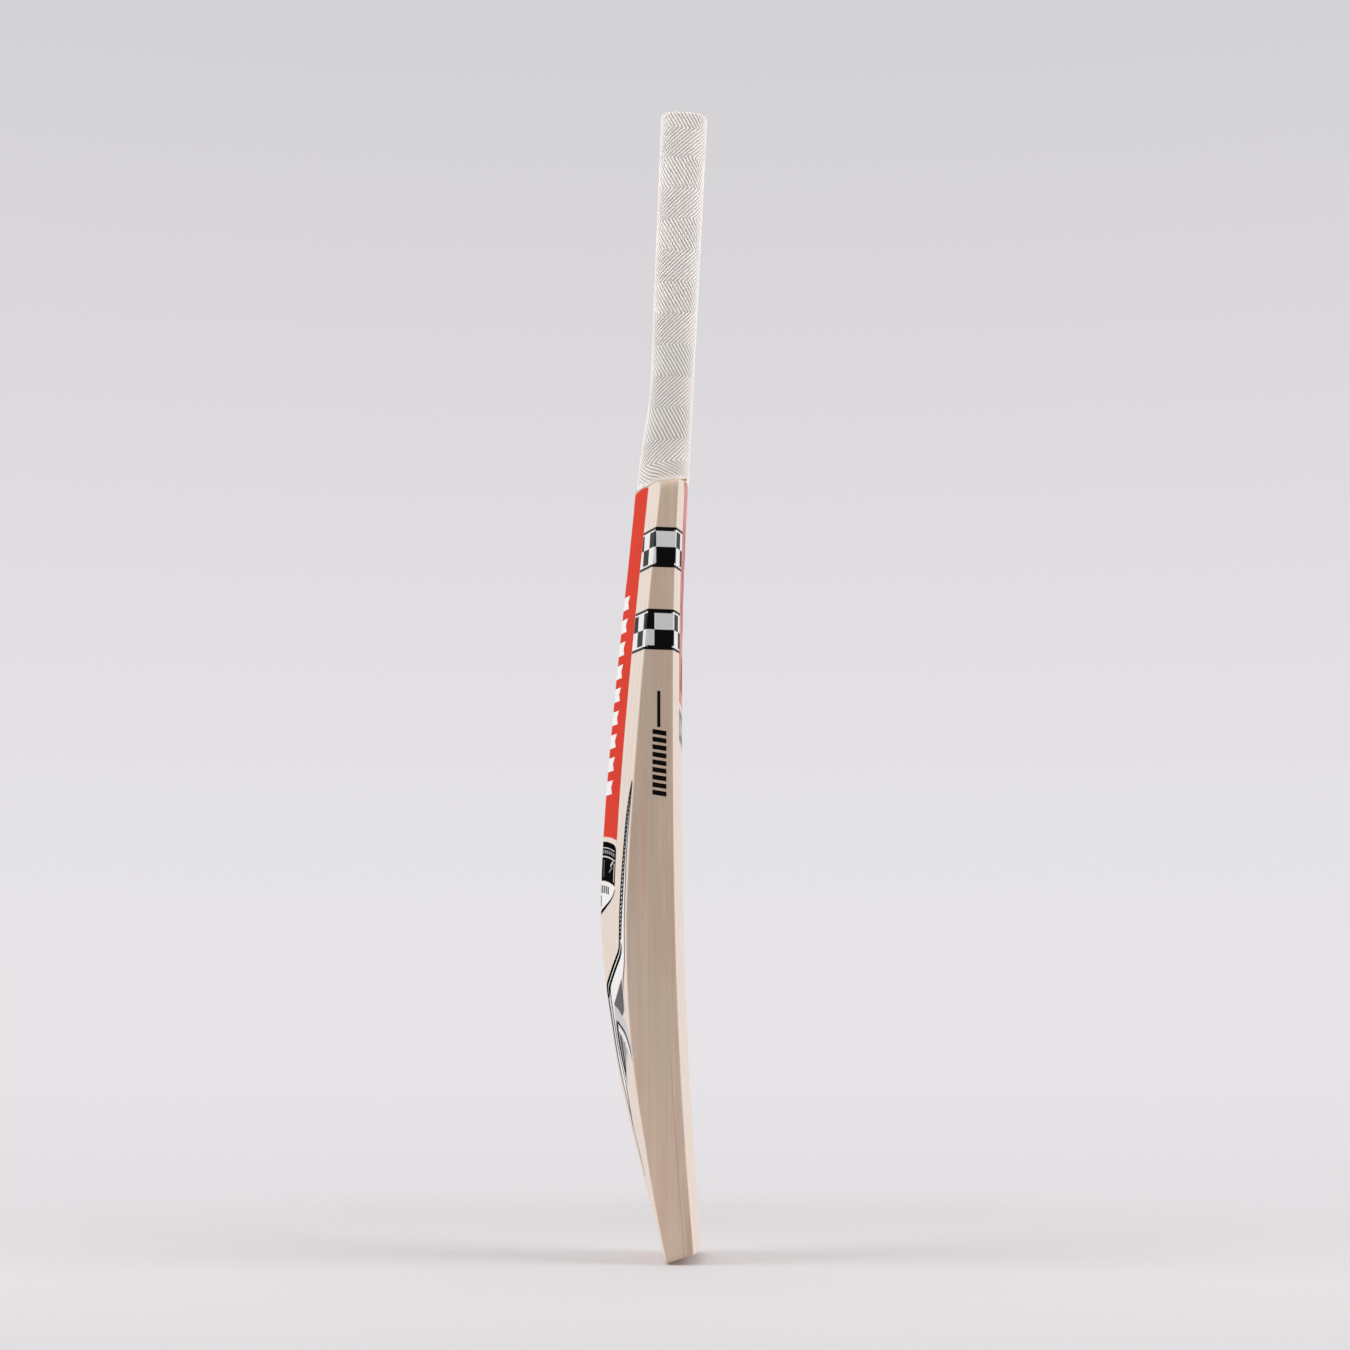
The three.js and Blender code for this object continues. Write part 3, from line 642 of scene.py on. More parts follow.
def build_grip():
    outer = grip_rows()
    base = np.arange(COLUMNS) / COLUMNS
    z, around, grow, groove = [], [], [], []
    turned = 0.0
    last_z = BAT_LENGTH

    def add(height, out, share, shift, ridges=MANY_RIDGES):
        profile = (0.5 + 0.5 * np.cos(2 * math.pi * ridges * base)) ** 1.3
        z.append(height)
        around.append(base + shift)
        grow.append(out - GROOVE_DEPTH * share * profile)
        groove.append(share * profile)

    hole = BUTT_HOLE - GRIP_HALF_X
    underside = BAT_LENGTH - GRIP_THICKNESS
    add(underside, -GRIP_THICKNESS, 0, 0)
    add(underside, hole, 0, 0)
    add(underside + 0.5, hole - 0.25, 0, 0)
    add(BAT_LENGTH - 0.5, hole - 0.1, 0, 0)
    add(BAT_LENGTH, hole + 0.5, 0, 0)
    add(BAT_LENGTH, hole + 1.2, 0, 0)
    for height, out, share, lean, ridges in outer:
        perimeter = 6.75 * (grip_half_x(height) + (grip_back_y(height) - grip_face_y(height)) / 2) / 2
        turned -= lean * (last_z - height) / perimeter
        last_z = height
        add(height, out, share, turned, ridges)
    for height, out in ((RIM_Z + 0.5, -0.15), (RIM_Z + 0.1, -0.5), (RIM_Z, -0.95), (RIM_Z + 0.1, -1.5)):
        add(height, out, 0, turned)
    for rise in (0.5, 4, 9, 15, 22, 32, 46, 64):
        add(RIM_Z + rise, -GRIP_THICKNESS, 0, turned)
    for height in (RIM_Z + 84, 700, 770, 820):
        add(height, -GRIP_THICKNESS, 0, turned * (underside - height) / (underside - RIM_Z))
    points = handle_points(z, np.array(around), np.array(grow))
    rows = len(z)
    made = piece(
        "grip_sleeve", points.reshape(-1, 3), grid_faces(rows, COLUMNS, True, True), [GRIP_RUBBER],
        replaces=["grip"], sharp=80,
    )
    attribute = made.data.attributes.new("groove", "FLOAT", "POINT")
    attribute.data.foreach_set("value", np.array(groove, np.float32).ravel())
    return made


TWINE_PITCH = 1.8
TWINE_PROFILE = [0.0, 0.7, 1.0, 0.7]
TWINE_DEPTH = 0.4
BINDING_COLUMNS, BINDING_INNER_ROWS = 40, 40


def build_binding():
    bottom, top = SHOULDER_ROOT_Z + 1, BAT_LENGTH - GRIP_THICKNESS - BINDING_GAP - BINDING_SETBACK
    steps = int((top - bottom) / TWINE_PITCH) * len(TWINE_PROFILE)
    base = np.arange(BINDING_COLUMNS) / BINDING_COLUMNS
    z = np.linspace(bottom, top, steps + 1)
    lift = np.array([TWINE_PROFILE[i % len(TWINE_PROFILE)] for i in range(steps + 1)])
    grow = -BINDING_OUT - TWINE_DEPTH * (1 - lift)
    outer = handle_points(z, np.tile(base, (len(z), 1)), grow[:, None])
    inner_z = np.linspace(top, bottom, BINDING_INNER_ROWS)
    inner_grow = np.full((BINDING_INNER_ROWS, 1), -BINDING_IN)
    inner = handle_points(inner_z, np.tile(base, (BINDING_INNER_ROWS, 1)), inner_grow)
    points = np.concatenate([outer, inner]).reshape(-1, 3)
    faces = grid_faces(len(z) + BINDING_INNER_ROWS, BINDING_COLUMNS, True, True)
    return piece("twine_binding", points, faces, [TWINE], replaces=["handle_binding"], sharp=80)


# ---- Printed films ----

FILM_BASE = 0.04  # the gap under a film
FILM_STEP = 0.06  # each printed layer stands this much above the one below
LAYER_START = 0.8  # and starts a little inside it, at this share of its step
BACK_HALF = 30.0  # half the width of the back's labels
LABEL_DROP, BADGE_DROP = 5.0, 6.0  # how far an arched line falls over that width
PATH_STEP = 3.0


def slope_normals(surface, u, v, side):
    """Outward unit normals of a surface y = surface(z, x)."""
    d = 0.05
    dx = (surface(v, u + d) - surface(v, u - d)) / (2 * d)
    dz = (surface(v + d, u) - surface(v - d, u)) / (2 * d)
    n = np.stack([-dx, np.ones_like(dx), -dz], axis=1) * side
    return n / np.linalg.norm(n, axis=1)[:, None]


def over_back(u, v, h):
    n = slope_normals(back_y, u, v, 1)
    return np.stack([u, back_y(v, u), v], axis=1) + n * h[:, None]


def over_face(u, v, h):
    n = slope_normals(face_y, u, v, -1)
    return np.stack([u, face_y(v, u), v], axis=1) + n * h[:, None]


def over_edge(side):
    """The flat edge: u is y, and the film lies on the left (-1) or right (1) side."""

    def place(u, v, h):
        return np.stack([side * (HALF_WIDTH + h), u, v], axis=1)

    return place


class Film:
    """A label: flat polygons in (u, v), cut into small cells and laid over the blade as thin closed slabs."""

    def __init__(self, name, place, cell=(3.0, 5.0)):
        self.name, self.place, self.cell = name, place, cell
        self.points, self.faces, self.indices, self.materials = [], [], [], []

    def add(self, polygon, material, level=0, flip=False):
        polygon = [(-u, v) for u, v in polygon] if flip else list(polygon)
        bm = bmesh.new()
        corners = [bm.verts.new((u, v, 0)) for u, v in polygon]
        bmesh.ops.triangulate(bm, faces=[bm.faces.new(corners)])
        flat = np.array(polygon, float)
        for axis in (0, 1):
            step = self.cell[axis]
            first = math.floor(flat[:, axis].min() / step) + 1
            last = math.ceil(flat[:, axis].max() / step)
            normal = [0.0, 0.0, 0.0]
            normal[axis] = 1.0
            for k in range(first, last):
                at = [0.0, 0.0, 0.0]
                at[axis] = k * step
                geometry = bm.verts[:] + bm.edges[:] + bm.faces[:]
                bmesh.ops.bisect_plane(bm, geom=geometry, plane_co=at, plane_no=normal, dist=1e-5)
        bmesh.ops.remove_doubles(bm, verts=bm.verts, dist=1e-3)
        bm.normal_update()
        bm.verts.index_update()
        flat = np.array([v.co[:2] for v in bm.verts], float)
        low = FILM_BASE + FILM_STEP * level * LAYER_START
        high = FILM_BASE + FILM_STEP * (level + 1)
        top, bottom = len(self.points), len(self.points) + len(flat)
        for h in (high, low):
            self.points.extend(self.place(flat[:, 0], flat[:, 1], np.full(len(flat), h)))
        made = []
        for face in bm.faces:
            ids = [v.index for v in face.verts]
            made.append(tuple(top + i for i in ids))
            made.append(tuple(bottom + i for i in reversed(ids)))
        for edge in bm.edges:
            if len(edge.link_faces) == 1:
                loop = edge.link_loops[0]
                a, b = loop.vert.index, loop.link_loop_next.vert.index
                made.append((top + b, top + a, bottom + a, bottom + b))
        bm.free()
        if material not in self.materials:
            self.materials.append(material)
        self.faces += made
        self.indices += [self.materials.index(material)] * len(made)
        return self

    def both(self, polygon, material, level=0):
        return self.add(polygon, material, level).add(polygon, material, level, flip=True)

    def build(self, replaces):
        return piece(
            self.name, self.points, self.faces, self.materials, self.indices,
            replaces=replaces, sharp=50,
        )


def arch(x0, x1, z, steps, drop=BADGE_DROP):
    """Points along a line that falls away from the middle."""
    return [(x, z - drop * (x / BACK_HALF) ** 2) for x in np.linspace(x0, x1, steps + 1)]


def arch_strip(x0, x1, top, bottom, steps=12):
    return arch(x0, x1, bottom, steps) + arch(x0, x1, top, steps)[::-1]


def bar(u0, u1, v0, v1, lean=0.0):
    """A plain parallelogram: its top is moved by lean along u."""
    return [(u0, v0), (u1, v0), (u1 + lean, v1), (u0 + lean, v1)]


def band_along(path, near, far):
    """A strip beside a polyline of (u, v) points, between two distances to its left."""
    path = np.array(path, float)
    along = np.gradient(path, axis=0)
    along /= np.linalg.norm(along, axis=1)[:, None]
    left = np.stack([-along[:, 1], along[:, 0]], axis=1)
    near, far = (np.broadcast_to(np.asarray(v, float), len(path))[:, None] for v in (near, far))
    return [tuple(p) for p in path + left * near] + [tuple(p) for p in (path + left * far)[::-1]]


def rounded_path(corners):
    """A polyline through (u, v, reach) corners, each rounded from reach before it to reach after it."""
    places = [np.array(corner[:2], float) for corner in corners]
    reaches = [corner[2] for corner in corners[1:-1]] + [0]
    out = [places[0]]
    for at, after, reach in zip(places[1:], places[2:] + places[-1:], reaches):
        enter = at + (out[-1] - at) * reach / np.linalg.norm(out[-1] - at)
        count = max(1, int(np.linalg.norm(enter - out[-1]) / PATH_STEP))
        out += [out[-1] + (enter - out[-1]) * (k + 1) / count for k in range(count)]
        if reach:
            leave = at + (after - at) * reach / np.linalg.norm(after - at)
            out += [bezier(enter, at, leave, t) for t in np.linspace(0, 1, 7)[1:]]
    return np.array(out)


def x_on(path, z):
    """Where a path that runs steadily down crosses height z."""
    return float(np.interp(z, path[::-1, 1], path[::-1, 0]))


def smooth_path(points, step=PATH_STEP):
    """A polyline through points, rounded by a Catmull-Rom curve and cut into short pieces."""
    p = np.array(points, float)
    p = np.concatenate([[2 * p[0] - p[1]], p, [2 * p[-1] - p[-2]]])
    out = []
    for i in range(1, len(p) - 2):
        count = max(1, int(np.linalg.norm(p[i + 1] - p[i]) / step))
        for k in range(count):
            t = k / count
            out.append(
                0.5 * (
                    2 * p[i] + (p[i + 1] - p[i - 1]) * t
                    + (2 * p[i - 1] - 5 * p[i] + 4 * p[i + 1] - p[i + 2]) * t * t
                    + (3 * p[i] - p[i - 1] - 3 * p[i + 1] + p[i + 2]) * t**3
                )
            )
    out.append(p[-2])
    return np.array(out)


def label_top(x):
    """Just under the shoulders, which slope away on both sides of the handle."""
    shoulder = SHOULDER_ROOT_Z - 0.1 - 0.22 * max(abs(x) - SPLICE_ROOT_HALF, 0)
    y = float(back_y(553.0, x))
    return shoulder + SHOULDER_SLANT * (y - SHOULDER_MIDDLE_Y) + float(shoulder_sag(y)) - 0.2


def build_back_label():
    film = Film("back_label_film", over_back, cell=(2.5, 6.0))
    top = [(x, label_top(x)) for x in np.linspace(BACK_HALF, -BACK_HALF, 25)]
    film.add(arch(-BACK_HALF, BACK_HALF, 298.0, 24, LABEL_DROP) + top, RED)
    film.add([(-3.6, 486), (3.6, 486), (3.6, 540), (1.5, 545), (-1.5, 545), (-3.6, 540)], WHITE, 1)
    for k in range(9):
        z = 328.0 + 17.0 * k
        film.add([(-15, z), (15, z), (17.5, z + 5), (15, z + 10), (-15, z + 10), (-12.5, z + 5)], WHITE, 1)
    film.build(["back_label"])


def build_badge():
    film = Film("badge_film", over_back, cell=(2.5, 5.0))
    corner = [(29.8, 285.4), (29.0, 287.6), (27.6, 289.0)]
    outline = arch(-BACK_HALF, BACK_HALF, 266.4, 24) + corner + arch(26, -26, 294.6, 20)
    film.add(outline + [(-x, z) for x, z in corner[::-1]], INK)
    film.add(arch_strip(-27, 27, 290.6, 289.9), SILVER, 1)
    film.add(arch_strip(-29, 29, 284.4, 283.3), SILVER, 1)
    for k in range(14):
        x = -26 + 4.0 * k
        film.add(arch_strip(x - 1.3, x + 1.3, 288.6, 286.2, 2), GREY, 1)
    film.both(arch_strip(7.2, 9.0, 281.5, 269.0, 2), DARK_GREY, 1)
    film.both(arch_strip(27.0, 28.4, 281.8, 268.5, 2), SILVER, 1)
    film.both([(20.5, 276.6), (25.4, 279.4), (25.4, 277.2), (20.5, 274.4)], SILVER, 1)
    film.both([(18.5, 272.0), (24.0, 275.0), (24.0, 273.6), (18.5, 270.6)], GREY, 1)
    film.build(["back_badge"])


SHIELD_HALF = 31.0
SHIELD_SIDE = [(SHIELD_HALF, 257.6), (28.4, 254), (24, 250.6), (14, 246), (5, 242.4), (0, 241.2)]


def build_shield():
    film = Film("shield_film", over_back, cell=(2.5, 4.0))
    sides = smooth_path(SHIELD_SIDE, 2.0)
    side = [tuple(p) for p in sides]
    top = arch(-SHIELD_HALF, SHIELD_HALF, 265.6, 24)
    film.add(top + side + [(-x, z) for x, z in side[-2::-1]], WHITE)
    film.both(band_along(sides, 0.0, -np.linspace(0.9, 3.0, len(sides))), INK, 1)
    for k in range(5):
        x = 1.4 + 3.8 * k
        film.both(arch_strip(x, x + 2.4, 263.0, 257.6, 2), DARK_GREY, 1)
    film.add(bar(-4.4, 4.4, 247.8, 255.4), INK, 1)
    film.build(["back_shield"])


FACE_HALF, FACE_LABEL_BOTTOM = 38.5, 392.0
FACE_LABEL_TOP = [(FACE_HALF, 553.4), (20, 556.8), (-20, 556.8), (-FACE_HALF, 553.4)]


def build_face_labels():
    film = Film("face_label_film", over_face, cell=(5.0, 6.0))
    film.add([(-FACE_HALF, FACE_LABEL_BOTTOM), (FACE_HALF, FACE_LABEL_BOTTOM)] + FACE_LABEL_TOP, GLOSSY_RED)
    for k in range(3):
        z = 515 - 26.0 * k
        film.add([(-26, z), (0, z - 20), (26, z), (26, z + 10), (0, z - 10), (-26, z + 10)], DARK_RED, 1)
    for k in range(3):
        film.add(bar(-28 + 16 * k, -18 + 16 * k, 402, 428, 12.0), DARK_RED, 1)
    film.build(["face_label"])
    strip = Film("face_strip_film", over_face, cell=(5.0, 6.0))
    for bottom, top, material, level in ((363, 387, GREY, 0), (366, 368, BLACK, 1), (382, 384, BLACK, 1)):
        strip.add(bar(-FACE_HALF, FACE_HALF, bottom, top), material, level)
    for k in range(9):
        strip.add(bar(-34 + 7.6 * k, -30.4 + 7.6 * k, 370, 380, 3.0), SILVER, 1)
    strip.build(["face_strip"])


def build_edge_mark(side, word):
    film = Film("edge_mark_film_" + word, over_edge(side), cell=(4.0, 8.0))
    film.add(bar(15.6, 17.8, 371.5, 397.5), BLACK)
    for k in range(9):
        z = 322.0 + 5.4 * k
        film.add([(11.3, z), (21.1, z + 1.6), (21.1, z + 5.0), (11.3, z + 3.4)], BLACK)
    film.build(["edge_mark_" + word])


# The side stripe's lines on the slope beside the spine. A corner is x, z and how far its round reaches each
# way. The two ends of a line have no round.
STRIPE_LEFT = [
    (51, 334), (45, 317, 14), (39, 216, 5), (5, 191, 5), (7, 168, 14), (7.5, 138, 10), (15, 102, 5),
    (14, 90, 6), (20, 58),
]
STRIPE_SECOND = [(17, 194), (13.5, 187, 5), (15.5, 146, 6), (22, 122, 4), (20, 108, 8), (15.5, 91)]
STRIPE_HATCHED = [(52, 331), (48, 296, 16), (47.5, 250, 14), (44, 219)]
STRIPE_RIGHT = [
    (52, 333), (51.5, 318, 10), (49.5, 288, 14), (51, 248, 16), (50, 206, 5), (42.5, 184, 5), (43, 172),
]
STRIPE_WHITE_RIGHT = [(49, 209), (46.5, 199, 5), (19.5, 177.5)]
LEAF_LEFT = [(19, 177), (16.5, 164, 8), (18.5, 142, 8), (25, 127, 4), (21, 108, 8), (16.5, 91)]
LEAF_RIGHT = [(19.5, 177.5), (42, 167, 8), (53.5, 152, 9), (52.5, 136)]
LEAF_VEE = [(24, 165), (42, 157, 7), (50, 147, 5), (52, 137.5)]
LEAF_WHITE = [(24.5, 160.5), (37, 154.5, 6), (50, 142.5, 5), (52, 133)]
# The left line's thickness at these heights.
LEFT_HEIGHTS = [58, 95, 105, 118, 130, 180, 190, 216, 225, 300, 334]
LEFT_THICKNESS = [1.2, 1.8, 2.4, 2.8, 3.4, 3.6, 3.2, 2.9, 2.2, 2.0, 1.0]
# Smooth lines through their points, and the fin's corners.
LEAF_POINT = [(26.0, 122), (29.4, 130), (35.6, 138.5), (42.2, 147.4)]
LEAF_DARK = [(21.4, 166), (20.4, 154), (22.0, 143), (24.4, 134), (25.6, 127)]
LEAF_CORE = [(26.6, 155), (28.0, 146), (28.4, 137), (27.4, 130)]
FIN = [
    (19.4, 177.4), (23.6, 180.2), (31.0, 185.4), (41.8, 194.4), (41.4, 184), (41.0, 171), (37.2, 169.0),
    (28.0, 174.2),
]


def build_side_stripe(side, word):
    """A racing stripe down the slope beside the spine: lines, a hatched wedge, a fin and a silver leaf."""
    film = Film("side_stripe_film_" + word, over_back, cell=(2.0, 5.0))

    def add(polygon, material, level=0):
        film.add(polygon, material, level, flip=side < 0)

    def as_points(*paths):
        return [tuple(p) for p in np.concatenate(paths)]

    left, hatched, right = (rounded_path(c) for c in (STRIPE_LEFT, STRIPE_HATCHED, STRIPE_RIGHT))
    second, leaf_left = rounded_path(STRIPE_SECOND), rounded_path(LEAF_LEFT)
    white_right = [right[right[:, 1] > 210.5], rounded_path(STRIPE_WHITE_RIGHT), leaf_left]
    add(as_points(left[left[:, 1] > 91], np.concatenate(white_right)[::-1]), WHITE)

    heights = left[:, 1]
    thick = np.interp(heights, LEFT_HEIGHTS, LEFT_THICKNESS)
    upper = heights > 178
    add(band_along(left[upper], 0.0, thick[upper]), INK, 1)
    lower = heights <= 183
    add(band_along(left[lower], 0.0, thick[lower]), DARK_GREY, 1)
    inner = left[(heights < 224) & (heights > 181)]
    beside = eased((224 - inner[:, 1]) / 8) * eased((inner[:, 1] - 180) / 6)
    add(band_along(inner, 3.2 + 0.9 * beside, 3.3 + 3.8 * beside), INK, 1)
    add(band_along(second, -1.3, 0.6), INK, 1)
    add(band_along(right, -0.8, 0.4), DARK_GREY, 1)

    rows = np.linspace(221.0, 331.0, 28)
    rope = [(x_on(left, v) + 2.0, v) for v in rows] + [(x_on(hatched, v), v) for v in rows[::-1]]
    add(rope, SILVER, 1)
    for k in range(35):
        v = 221.5 + 3.0 * k
        x0, x1 = x_on(left, v) + 1.8, x_on(hatched, v + 1.6) - 1.0
        if x1 - x0 > 0.4:
            add([(x0, v), (x1, v + 1.6), (x1, v + 3.0), (x0, v + 1.4)], INK, 2)
    edge = hatched[hatched[:, 1] > 220]
    add(band_along(edge, -1.6, -0.1), INK, 2)

    add(FIN, DARK_GREY, 1)
    vee, white = rounded_path(LEAF_VEE), rounded_path(LEAF_WHITE)
    upper_left = leaf_left[(leaf_left[:, 1] > 164) & (leaf_left[:, 1] < 176)]
    add(as_points(rounded_path(LEAF_RIGHT), vee[::-1], upper_left[::-1]), SILVER)
    add(as_points(vee, white[::-1]), SILVER)
    inside = leaf_left[(leaf_left[:, 1] < 164) & (leaf_left[:, 1] > 122)]
    point, dark, core = (smooth_path(p) for p in (LEAF_POINT, LEAF_DARK, LEAF_CORE))
    add(as_points([(23.8, 165.0)], white[white[:, 1] > 149], point[::-1], inside[::-1]), GREY)
    add(band_along(vee, -1.0, 0.8), INK, 1)
    add(band_along(white, -1.5, 1.3), WHITE, 2)
    add(band_along(point, -0.8, 0.8), SILVER, 1)
    add(band_along(dark, -1.2, 1.4), INK, 1)
    add(band_along(core, -1.1, 1.3), INK, 1)
    film.build(["side_stripe_" + word])


# ---- Chequered bands, which wrap the edge ----

# Where the cells meet along the wrap. These are a measuring script's output, as report.md says.
BAND_MARKS = [-33.5, -25.0, -16.2, -7.3, 7.6, 18.6, 29.8, 41.0]
# Each band's bottom, top, height where its two rows of cells meet, and y at the middle of the edge.
BANDS = {"upper": (487.0, 516.5, 501.9, 11.1), "lower": (427.0, 456.5, 441.6, 12.3)}
BAND_SLANT = 0.04
BORDER, KEYLINE = 1.9, 1.1
FACE_END_X, BACK_END_X = 39.1, 30.6
EDGE_START = len(FACE_STEPS) + EASE_STEPS
EDGE = slice(EDGE_START, EDGE_START + len(CORNER_STEPS) + len(WALL_STEPS))
BACK = slice(1 - len(BACK_STEPS), None)
COLUMN_STEP = 0.75
CORNER_REACH, CORNER_STEP = 1.8, 0.2  # finer columns round each corner
FOIL_REACH = 1.1


def slide(row, length, ring):
    """x and y at places along a ring."""
    return (np.interp(row, length, ring[:, a]) for a in (0, 1))


def build_band(name, side, word):
    bottom, top, split, centre_y = BANDS[name]
    inner_bottom, inner_top = bottom + BORDER + KEYLINE, top - BORDER - KEYLINE
    lines = {bottom, bottom + BORDER, inner_bottom, split, inner_top, top - BORDER, top}
    heights = np.array(sorted(lines | {float(h) for h in np.linspace(bottom, top, 13)[1:-1]}))
    whole = np.ones(len(heights))
    x_in, x_out = 0.9 * whole, HALF_WIDTH * whole
    rings = ring_points(heights, x_in, x_out, 0 * whole, lambda t, y: t + BAND_SLANT * (y - centre_y))
    steps = np.linalg.norm(np.diff(rings[:, :, :2], axis=1), axis=2)
    lengths = np.concatenate([np.zeros((len(heights), 1)), np.cumsum(steps, axis=1)], axis=1)
    at_centre, at_face, at_back = [], [], []
    for ring, length in zip(rings, lengths):
        at_centre.append(np.interp(centre_y, ring[EDGE, 1], length[EDGE]))
        at_face.append(np.interp(FACE_END_X, ring[:EDGE_START, 0], length[:EDGE_START]))
        at_back.append(np.interp(-BACK_END_X, -ring[BACK, 0], length[BACK]))
    at_centre, at_face, at_back = (np.array(v) for v in (at_centre, at_face, at_back))
    flat = [float(arris_y(split)) - centre_y for arris_y in (face_arris_y, back_arris_y)]
    fine = np.arange(-CORNER_REACH, CORNER_REACH + 0.01, CORNER_STEP)
    turns = [round(corner + d, 2) for corner in flat for d in fine]
    marks = np.array(sorted(set(BAND_MARKS) | set(np.arange(-33.0, 41.0, COLUMN_STEP)) | set(turns)))
    at = np.clip(at_centre[:, None] + marks, at_face[:, None], at_back[:, None])

    def lay(height):
        out = []
        step = 0.15
        for ring, length, row in zip(rings, lengths, at):
            x, y = slide(row, length, ring)
            (x_after, y_after), (x_before, y_before) = (slide(row + d, length, ring) for d in (step, -step))
            dx, dy = x_after - x_before, y_after - y_before
            size = np.hypot(dx, dy)
            z = np.interp(row, length, ring[:, 2])
            out.append(np.stack([side * (x + dy / size * height), y - dx / size * height, z], axis=1))
        return np.array(out)

    tops, bottoms = lay(FILM_BASE + FILM_STEP), lay(FILM_BASE)
    rows, columns = tops.shape[:2]
    points = np.concatenate([tops.reshape(-1, 3), bottoms.reshape(-1, 3)])
    faces, indices = [], []
    half = rows * columns

    def material_of(r, c):
        h = (heights[r] + heights[r + 1]) / 2
        u = (marks[c] + marks[c + 1]) / 2
        if h < bottom + BORDER or h > top - BORDER:
            return 0
        # The keyline between border and cells is one line. It is coloured black on the flat edge as painted
        # shade and white on the slopes as a painted bright reflection. Metal foil is used only near each
        # arris, where it catches the softboxes.
        if h < inner_bottom or h > inner_top:
            if min(abs(u - corner) for corner in flat) < FOIL_REACH:
                return 2
            return 0 if flat[0] < u < flat[1] else 1
        cell = np.searchsorted(BAND_MARKS, u)
        return 1 if (cell % 2 == 0) == (h > split) else 0

    for r in range(rows - 1):
        for c in range(columns - 1):
            low, high = r * columns + c, (r + 1) * columns + c
            cell = (low, low + 1, high + 1, high)
            faces += [cell, tuple(half + i for i in reversed(cell))]
            indices += [material_of(r, c)] * 2
    for r in range(rows - 1):
        for c in (0, columns - 1):
            a, e = r * columns + c, (r + 1) * columns + c
            faces.append((a, e, half + e, half + a))
            indices.append(material_of(r, min(c, columns - 2)))
    for c in range(columns - 1):
        for r in (0, rows - 1):
            a, b = r * columns + c, r * columns + c + 1
            faces.append((a, b, half + b, half + a))
            indices.append(0)
    piece(
        f"{name}_band_film_{word}", points, faces, [BLACK, BAND_WHITE, FOIL], indices,
        replaces=[f"{name}_band_{word}"], sharp=60, weld=0.004,
    )


# ---- The bat ----

build_blade()
build_grip()
build_binding()
build_back_label()
build_badge()
build_shield()
build_face_labels()
for side, word in ((-1, "left"), (1, "right")):
    build_edge_mark(side, word)
    build_side_stripe(side, word)
    for band in BANDS:
        build_band(band, side, word)

for node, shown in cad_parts.items():
    if node.startswith("cane_"):
        material = CANE
    elif node.startswith("rubber_spring_"):
        material = SPRING_RUBBER
    else:
        continue
    shown.data.materials.clear()
    shown.data.materials.append(material)

# ---- Floor, light and camera ----


FLOOR_RADIUS, FLOOR_RINGS, FLOOR_SPOKES = 0.85, 16, 96
FLOOR_FADE = (300.0, 800.0)  # mm from the middle


def build_floor():
    """A pale disc that fades into the backdrop, so that no horizon shows."""
    s = Shader("studio_floor", roughness=0.85)
    distance = s.put("VectorMath", {0: s.position}, out="Value", operation="LENGTH")
    s.set("Base Color", linear(226, 223, 226))
    s.set("Alpha", s.span(distance, FLOOR_FADE[1], FLOOR_FADE[0]))
    bm = bmesh.new()
    grid = []
    for r in range(1, FLOOR_RINGS + 1):
        out = FLOOR_RADIUS * r / FLOOR_RINGS
        angles = np.linspace(0, 2 * math.pi, FLOOR_SPOKES, endpoint=False)
        grid.append([bm.verts.new((out * math.cos(a), out * math.sin(a), 0)) for a in angles])
    middle = bm.verts.new((0, 0, 0))
    for k in range(FLOOR_SPOKES):
        after = (k + 1) % FLOOR_SPOKES
        bm.faces.new((middle, grid[0][k], grid[0][after]))
        for near, far in zip(grid, grid[1:]):
            bm.faces.new((near[k], far[k], far[after], near[after]))
    mesh = bpy.data.meshes.new("floor")
    bm.to_mesh(mesh)
    bm.free()
    mesh.materials.append(s.material)
    floor = bpy.data.objects.new("floor", mesh)
    bpy.context.scene.collection.objects.link(floor)
    floor.location = (0, 0, -0.0002)


def aim(thing, place, target):
    thing.location = place
    thing.rotation_euler = (Vector(target) - Vector(place)).to_track_quat("-Z", "Y").to_euler()


def softbox(name, place, target, width, height, power, spread=180):
    light = bpy.data.lights.new(name, "AREA")
    light.shape = "RECTANGLE"
    light.size, light.size_y, light.energy, light.spread = width, height, power, math.radians(spread)
    lamp = bpy.data.objects.new(name, light)
    bpy.context.scene.collection.objects.link(lamp)
    aim(lamp, place, target)


CAMERA_SIDE, BACKDROP_SIDE = 0.2, 0.7  # how strongly the studio lights from each side
BACKDROP = [
    (0.0, (223, 220, 223)), (0.1, (228, 225, 228)), (0.2, (232, 229, 232)), (0.36, (229, 227, 230)),
    (0.574, (225, 222, 226)), (1.0, (212, 210, 213)),
]


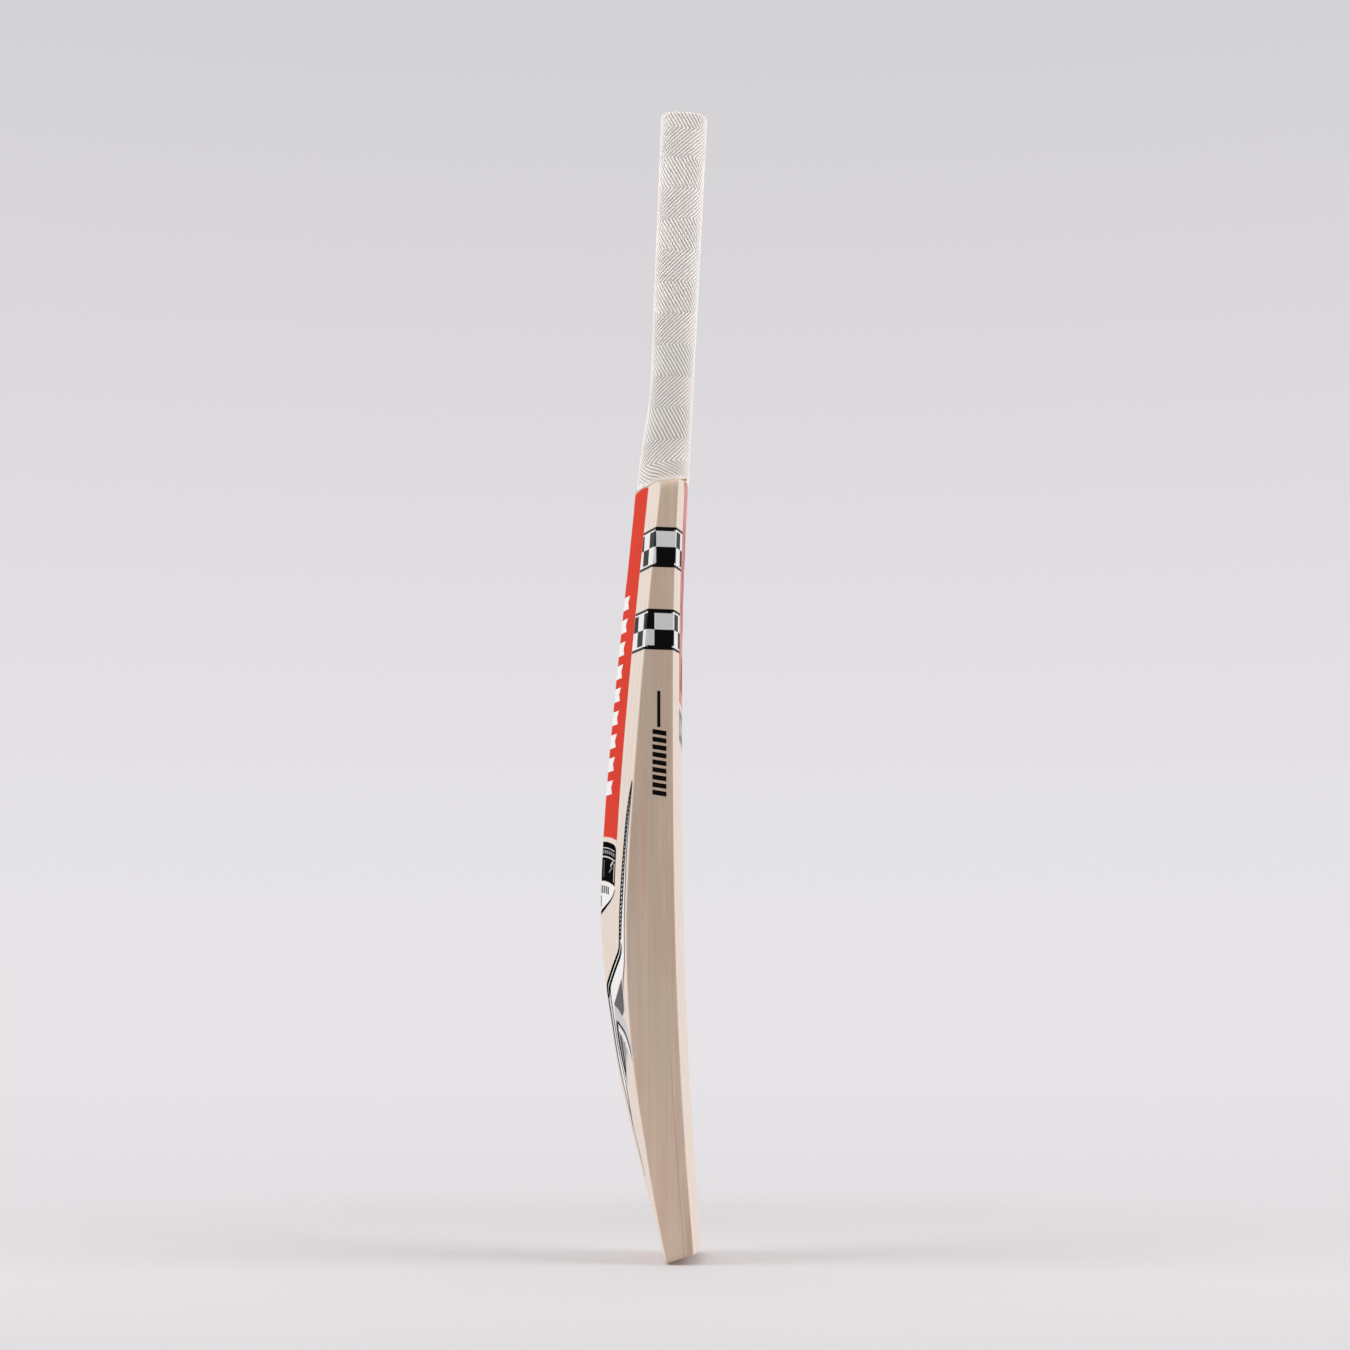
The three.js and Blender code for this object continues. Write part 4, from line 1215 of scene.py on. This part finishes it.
def build_world():
    """A pale backdrop behind the bat and a dimmer studio on the camera's side. Only the gradient is seen."""
    world = bpy.data.worlds.new("studio")
    bpy.context.scene.world = world
    world.use_nodes = True
    tree = world.node_tree
    tree.nodes.clear()
    generated = add_node(tree, "TexCoord").outputs["Generated"]
    split = add_node(tree, "SeparateXYZ", {0: generated}).outputs
    height = add_node(tree, "MapRange", {"Value": split["Z"], "From Min": -0.1, "From Max": 0.4}).outputs[0]
    ramp = add_node(tree, "ValToRGB", {0: height})
    stops = ramp.color_ramp.elements
    for stop, (place, color) in zip(stops, (BACKDROP[0], BACKDROP[-1])):
        stop.position, stop.color = place, linear(*color)
    for place, color in BACKDROP[1:-1]:
        stops.new(place).color = linear(*color)
    seen = add_node(tree, "Background", {"Color": ramp.outputs[0]}).outputs[0]
    behind = {"From Min": -0.7, "From Max": 0.7, "To Min": CAMERA_SIDE, "To Max": BACKDROP_SIDE}
    strength = add_node(tree, "MapRange", {"Value": split["X"], **behind}).outputs[0]
    lit = add_node(tree, "Background", {"Color": (1.0, 0.985, 0.97, 1.0), "Strength": strength}).outputs[0]
    camera_ray = add_node(tree, "LightPath").outputs["Is Camera Ray"]
    mixed = add_node(tree, "MixShader", {0: camera_ray, 1: lit, 2: seen}).outputs[0]
    add_node(tree, "OutputWorld", {"Surface": mixed})


CAMERA_DISTANCE, CAMERA_HEIGHT = 1.700, 0.1502
CAMERA_TURN = math.radians(1.0)  # from square on to the edge, towards the hitting face
CAMERA_PITCH = math.radians(8.93)
CAMERA_PAN = math.radians(0.213)
LENS = 62.46


def build_camera():
    data = bpy.data.cameras.new("camera")
    data.sensor_width, data.lens = 36.0, LENS
    data.clip_start, data.clip_end = 0.05, 50.0
    camera = bpy.data.objects.new("camera", data)
    bpy.context.scene.collection.objects.link(camera)
    camera.location = (
        -CAMERA_DISTANCE * math.cos(CAMERA_TURN),
        -CAMERA_DISTANCE * math.sin(CAMERA_TURN) + CHORD_Y * MM,
        CAMERA_HEIGHT,
    )
    heading = CAMERA_TURN + CAMERA_PAN
    ahead = Vector((
        math.cos(heading) * math.cos(CAMERA_PITCH),
        math.sin(heading) * math.cos(CAMERA_PITCH),
        math.sin(CAMERA_PITCH),
    ))
    camera.rotation_euler = ahead.to_track_quat("-Z", "Y").to_euler()
    bpy.context.scene.camera = camera


build_floor()
build_world()
softbox("back_side_box", (-0.35, 1.45, 0.85), (0, 0, 0.45), 1.3, 1.7, 17.5)
softbox("face_side_box", (-0.35, -1.45, 0.85), (0, 0, 0.45), 1.3, 1.7, 17.5)
softbox("grip_box", (-0.75, 0.0, 1.35), (0, 0, 0.79), 0.35, 0.35, 0.12, spread=25)
softbox("top_box", (0.0, 0.0, 2.3), (0, 0, 0), 1.6, 1.6, 8.0)
build_camera()
bpy.context.scene.view_settings.view_transform = "Standard"
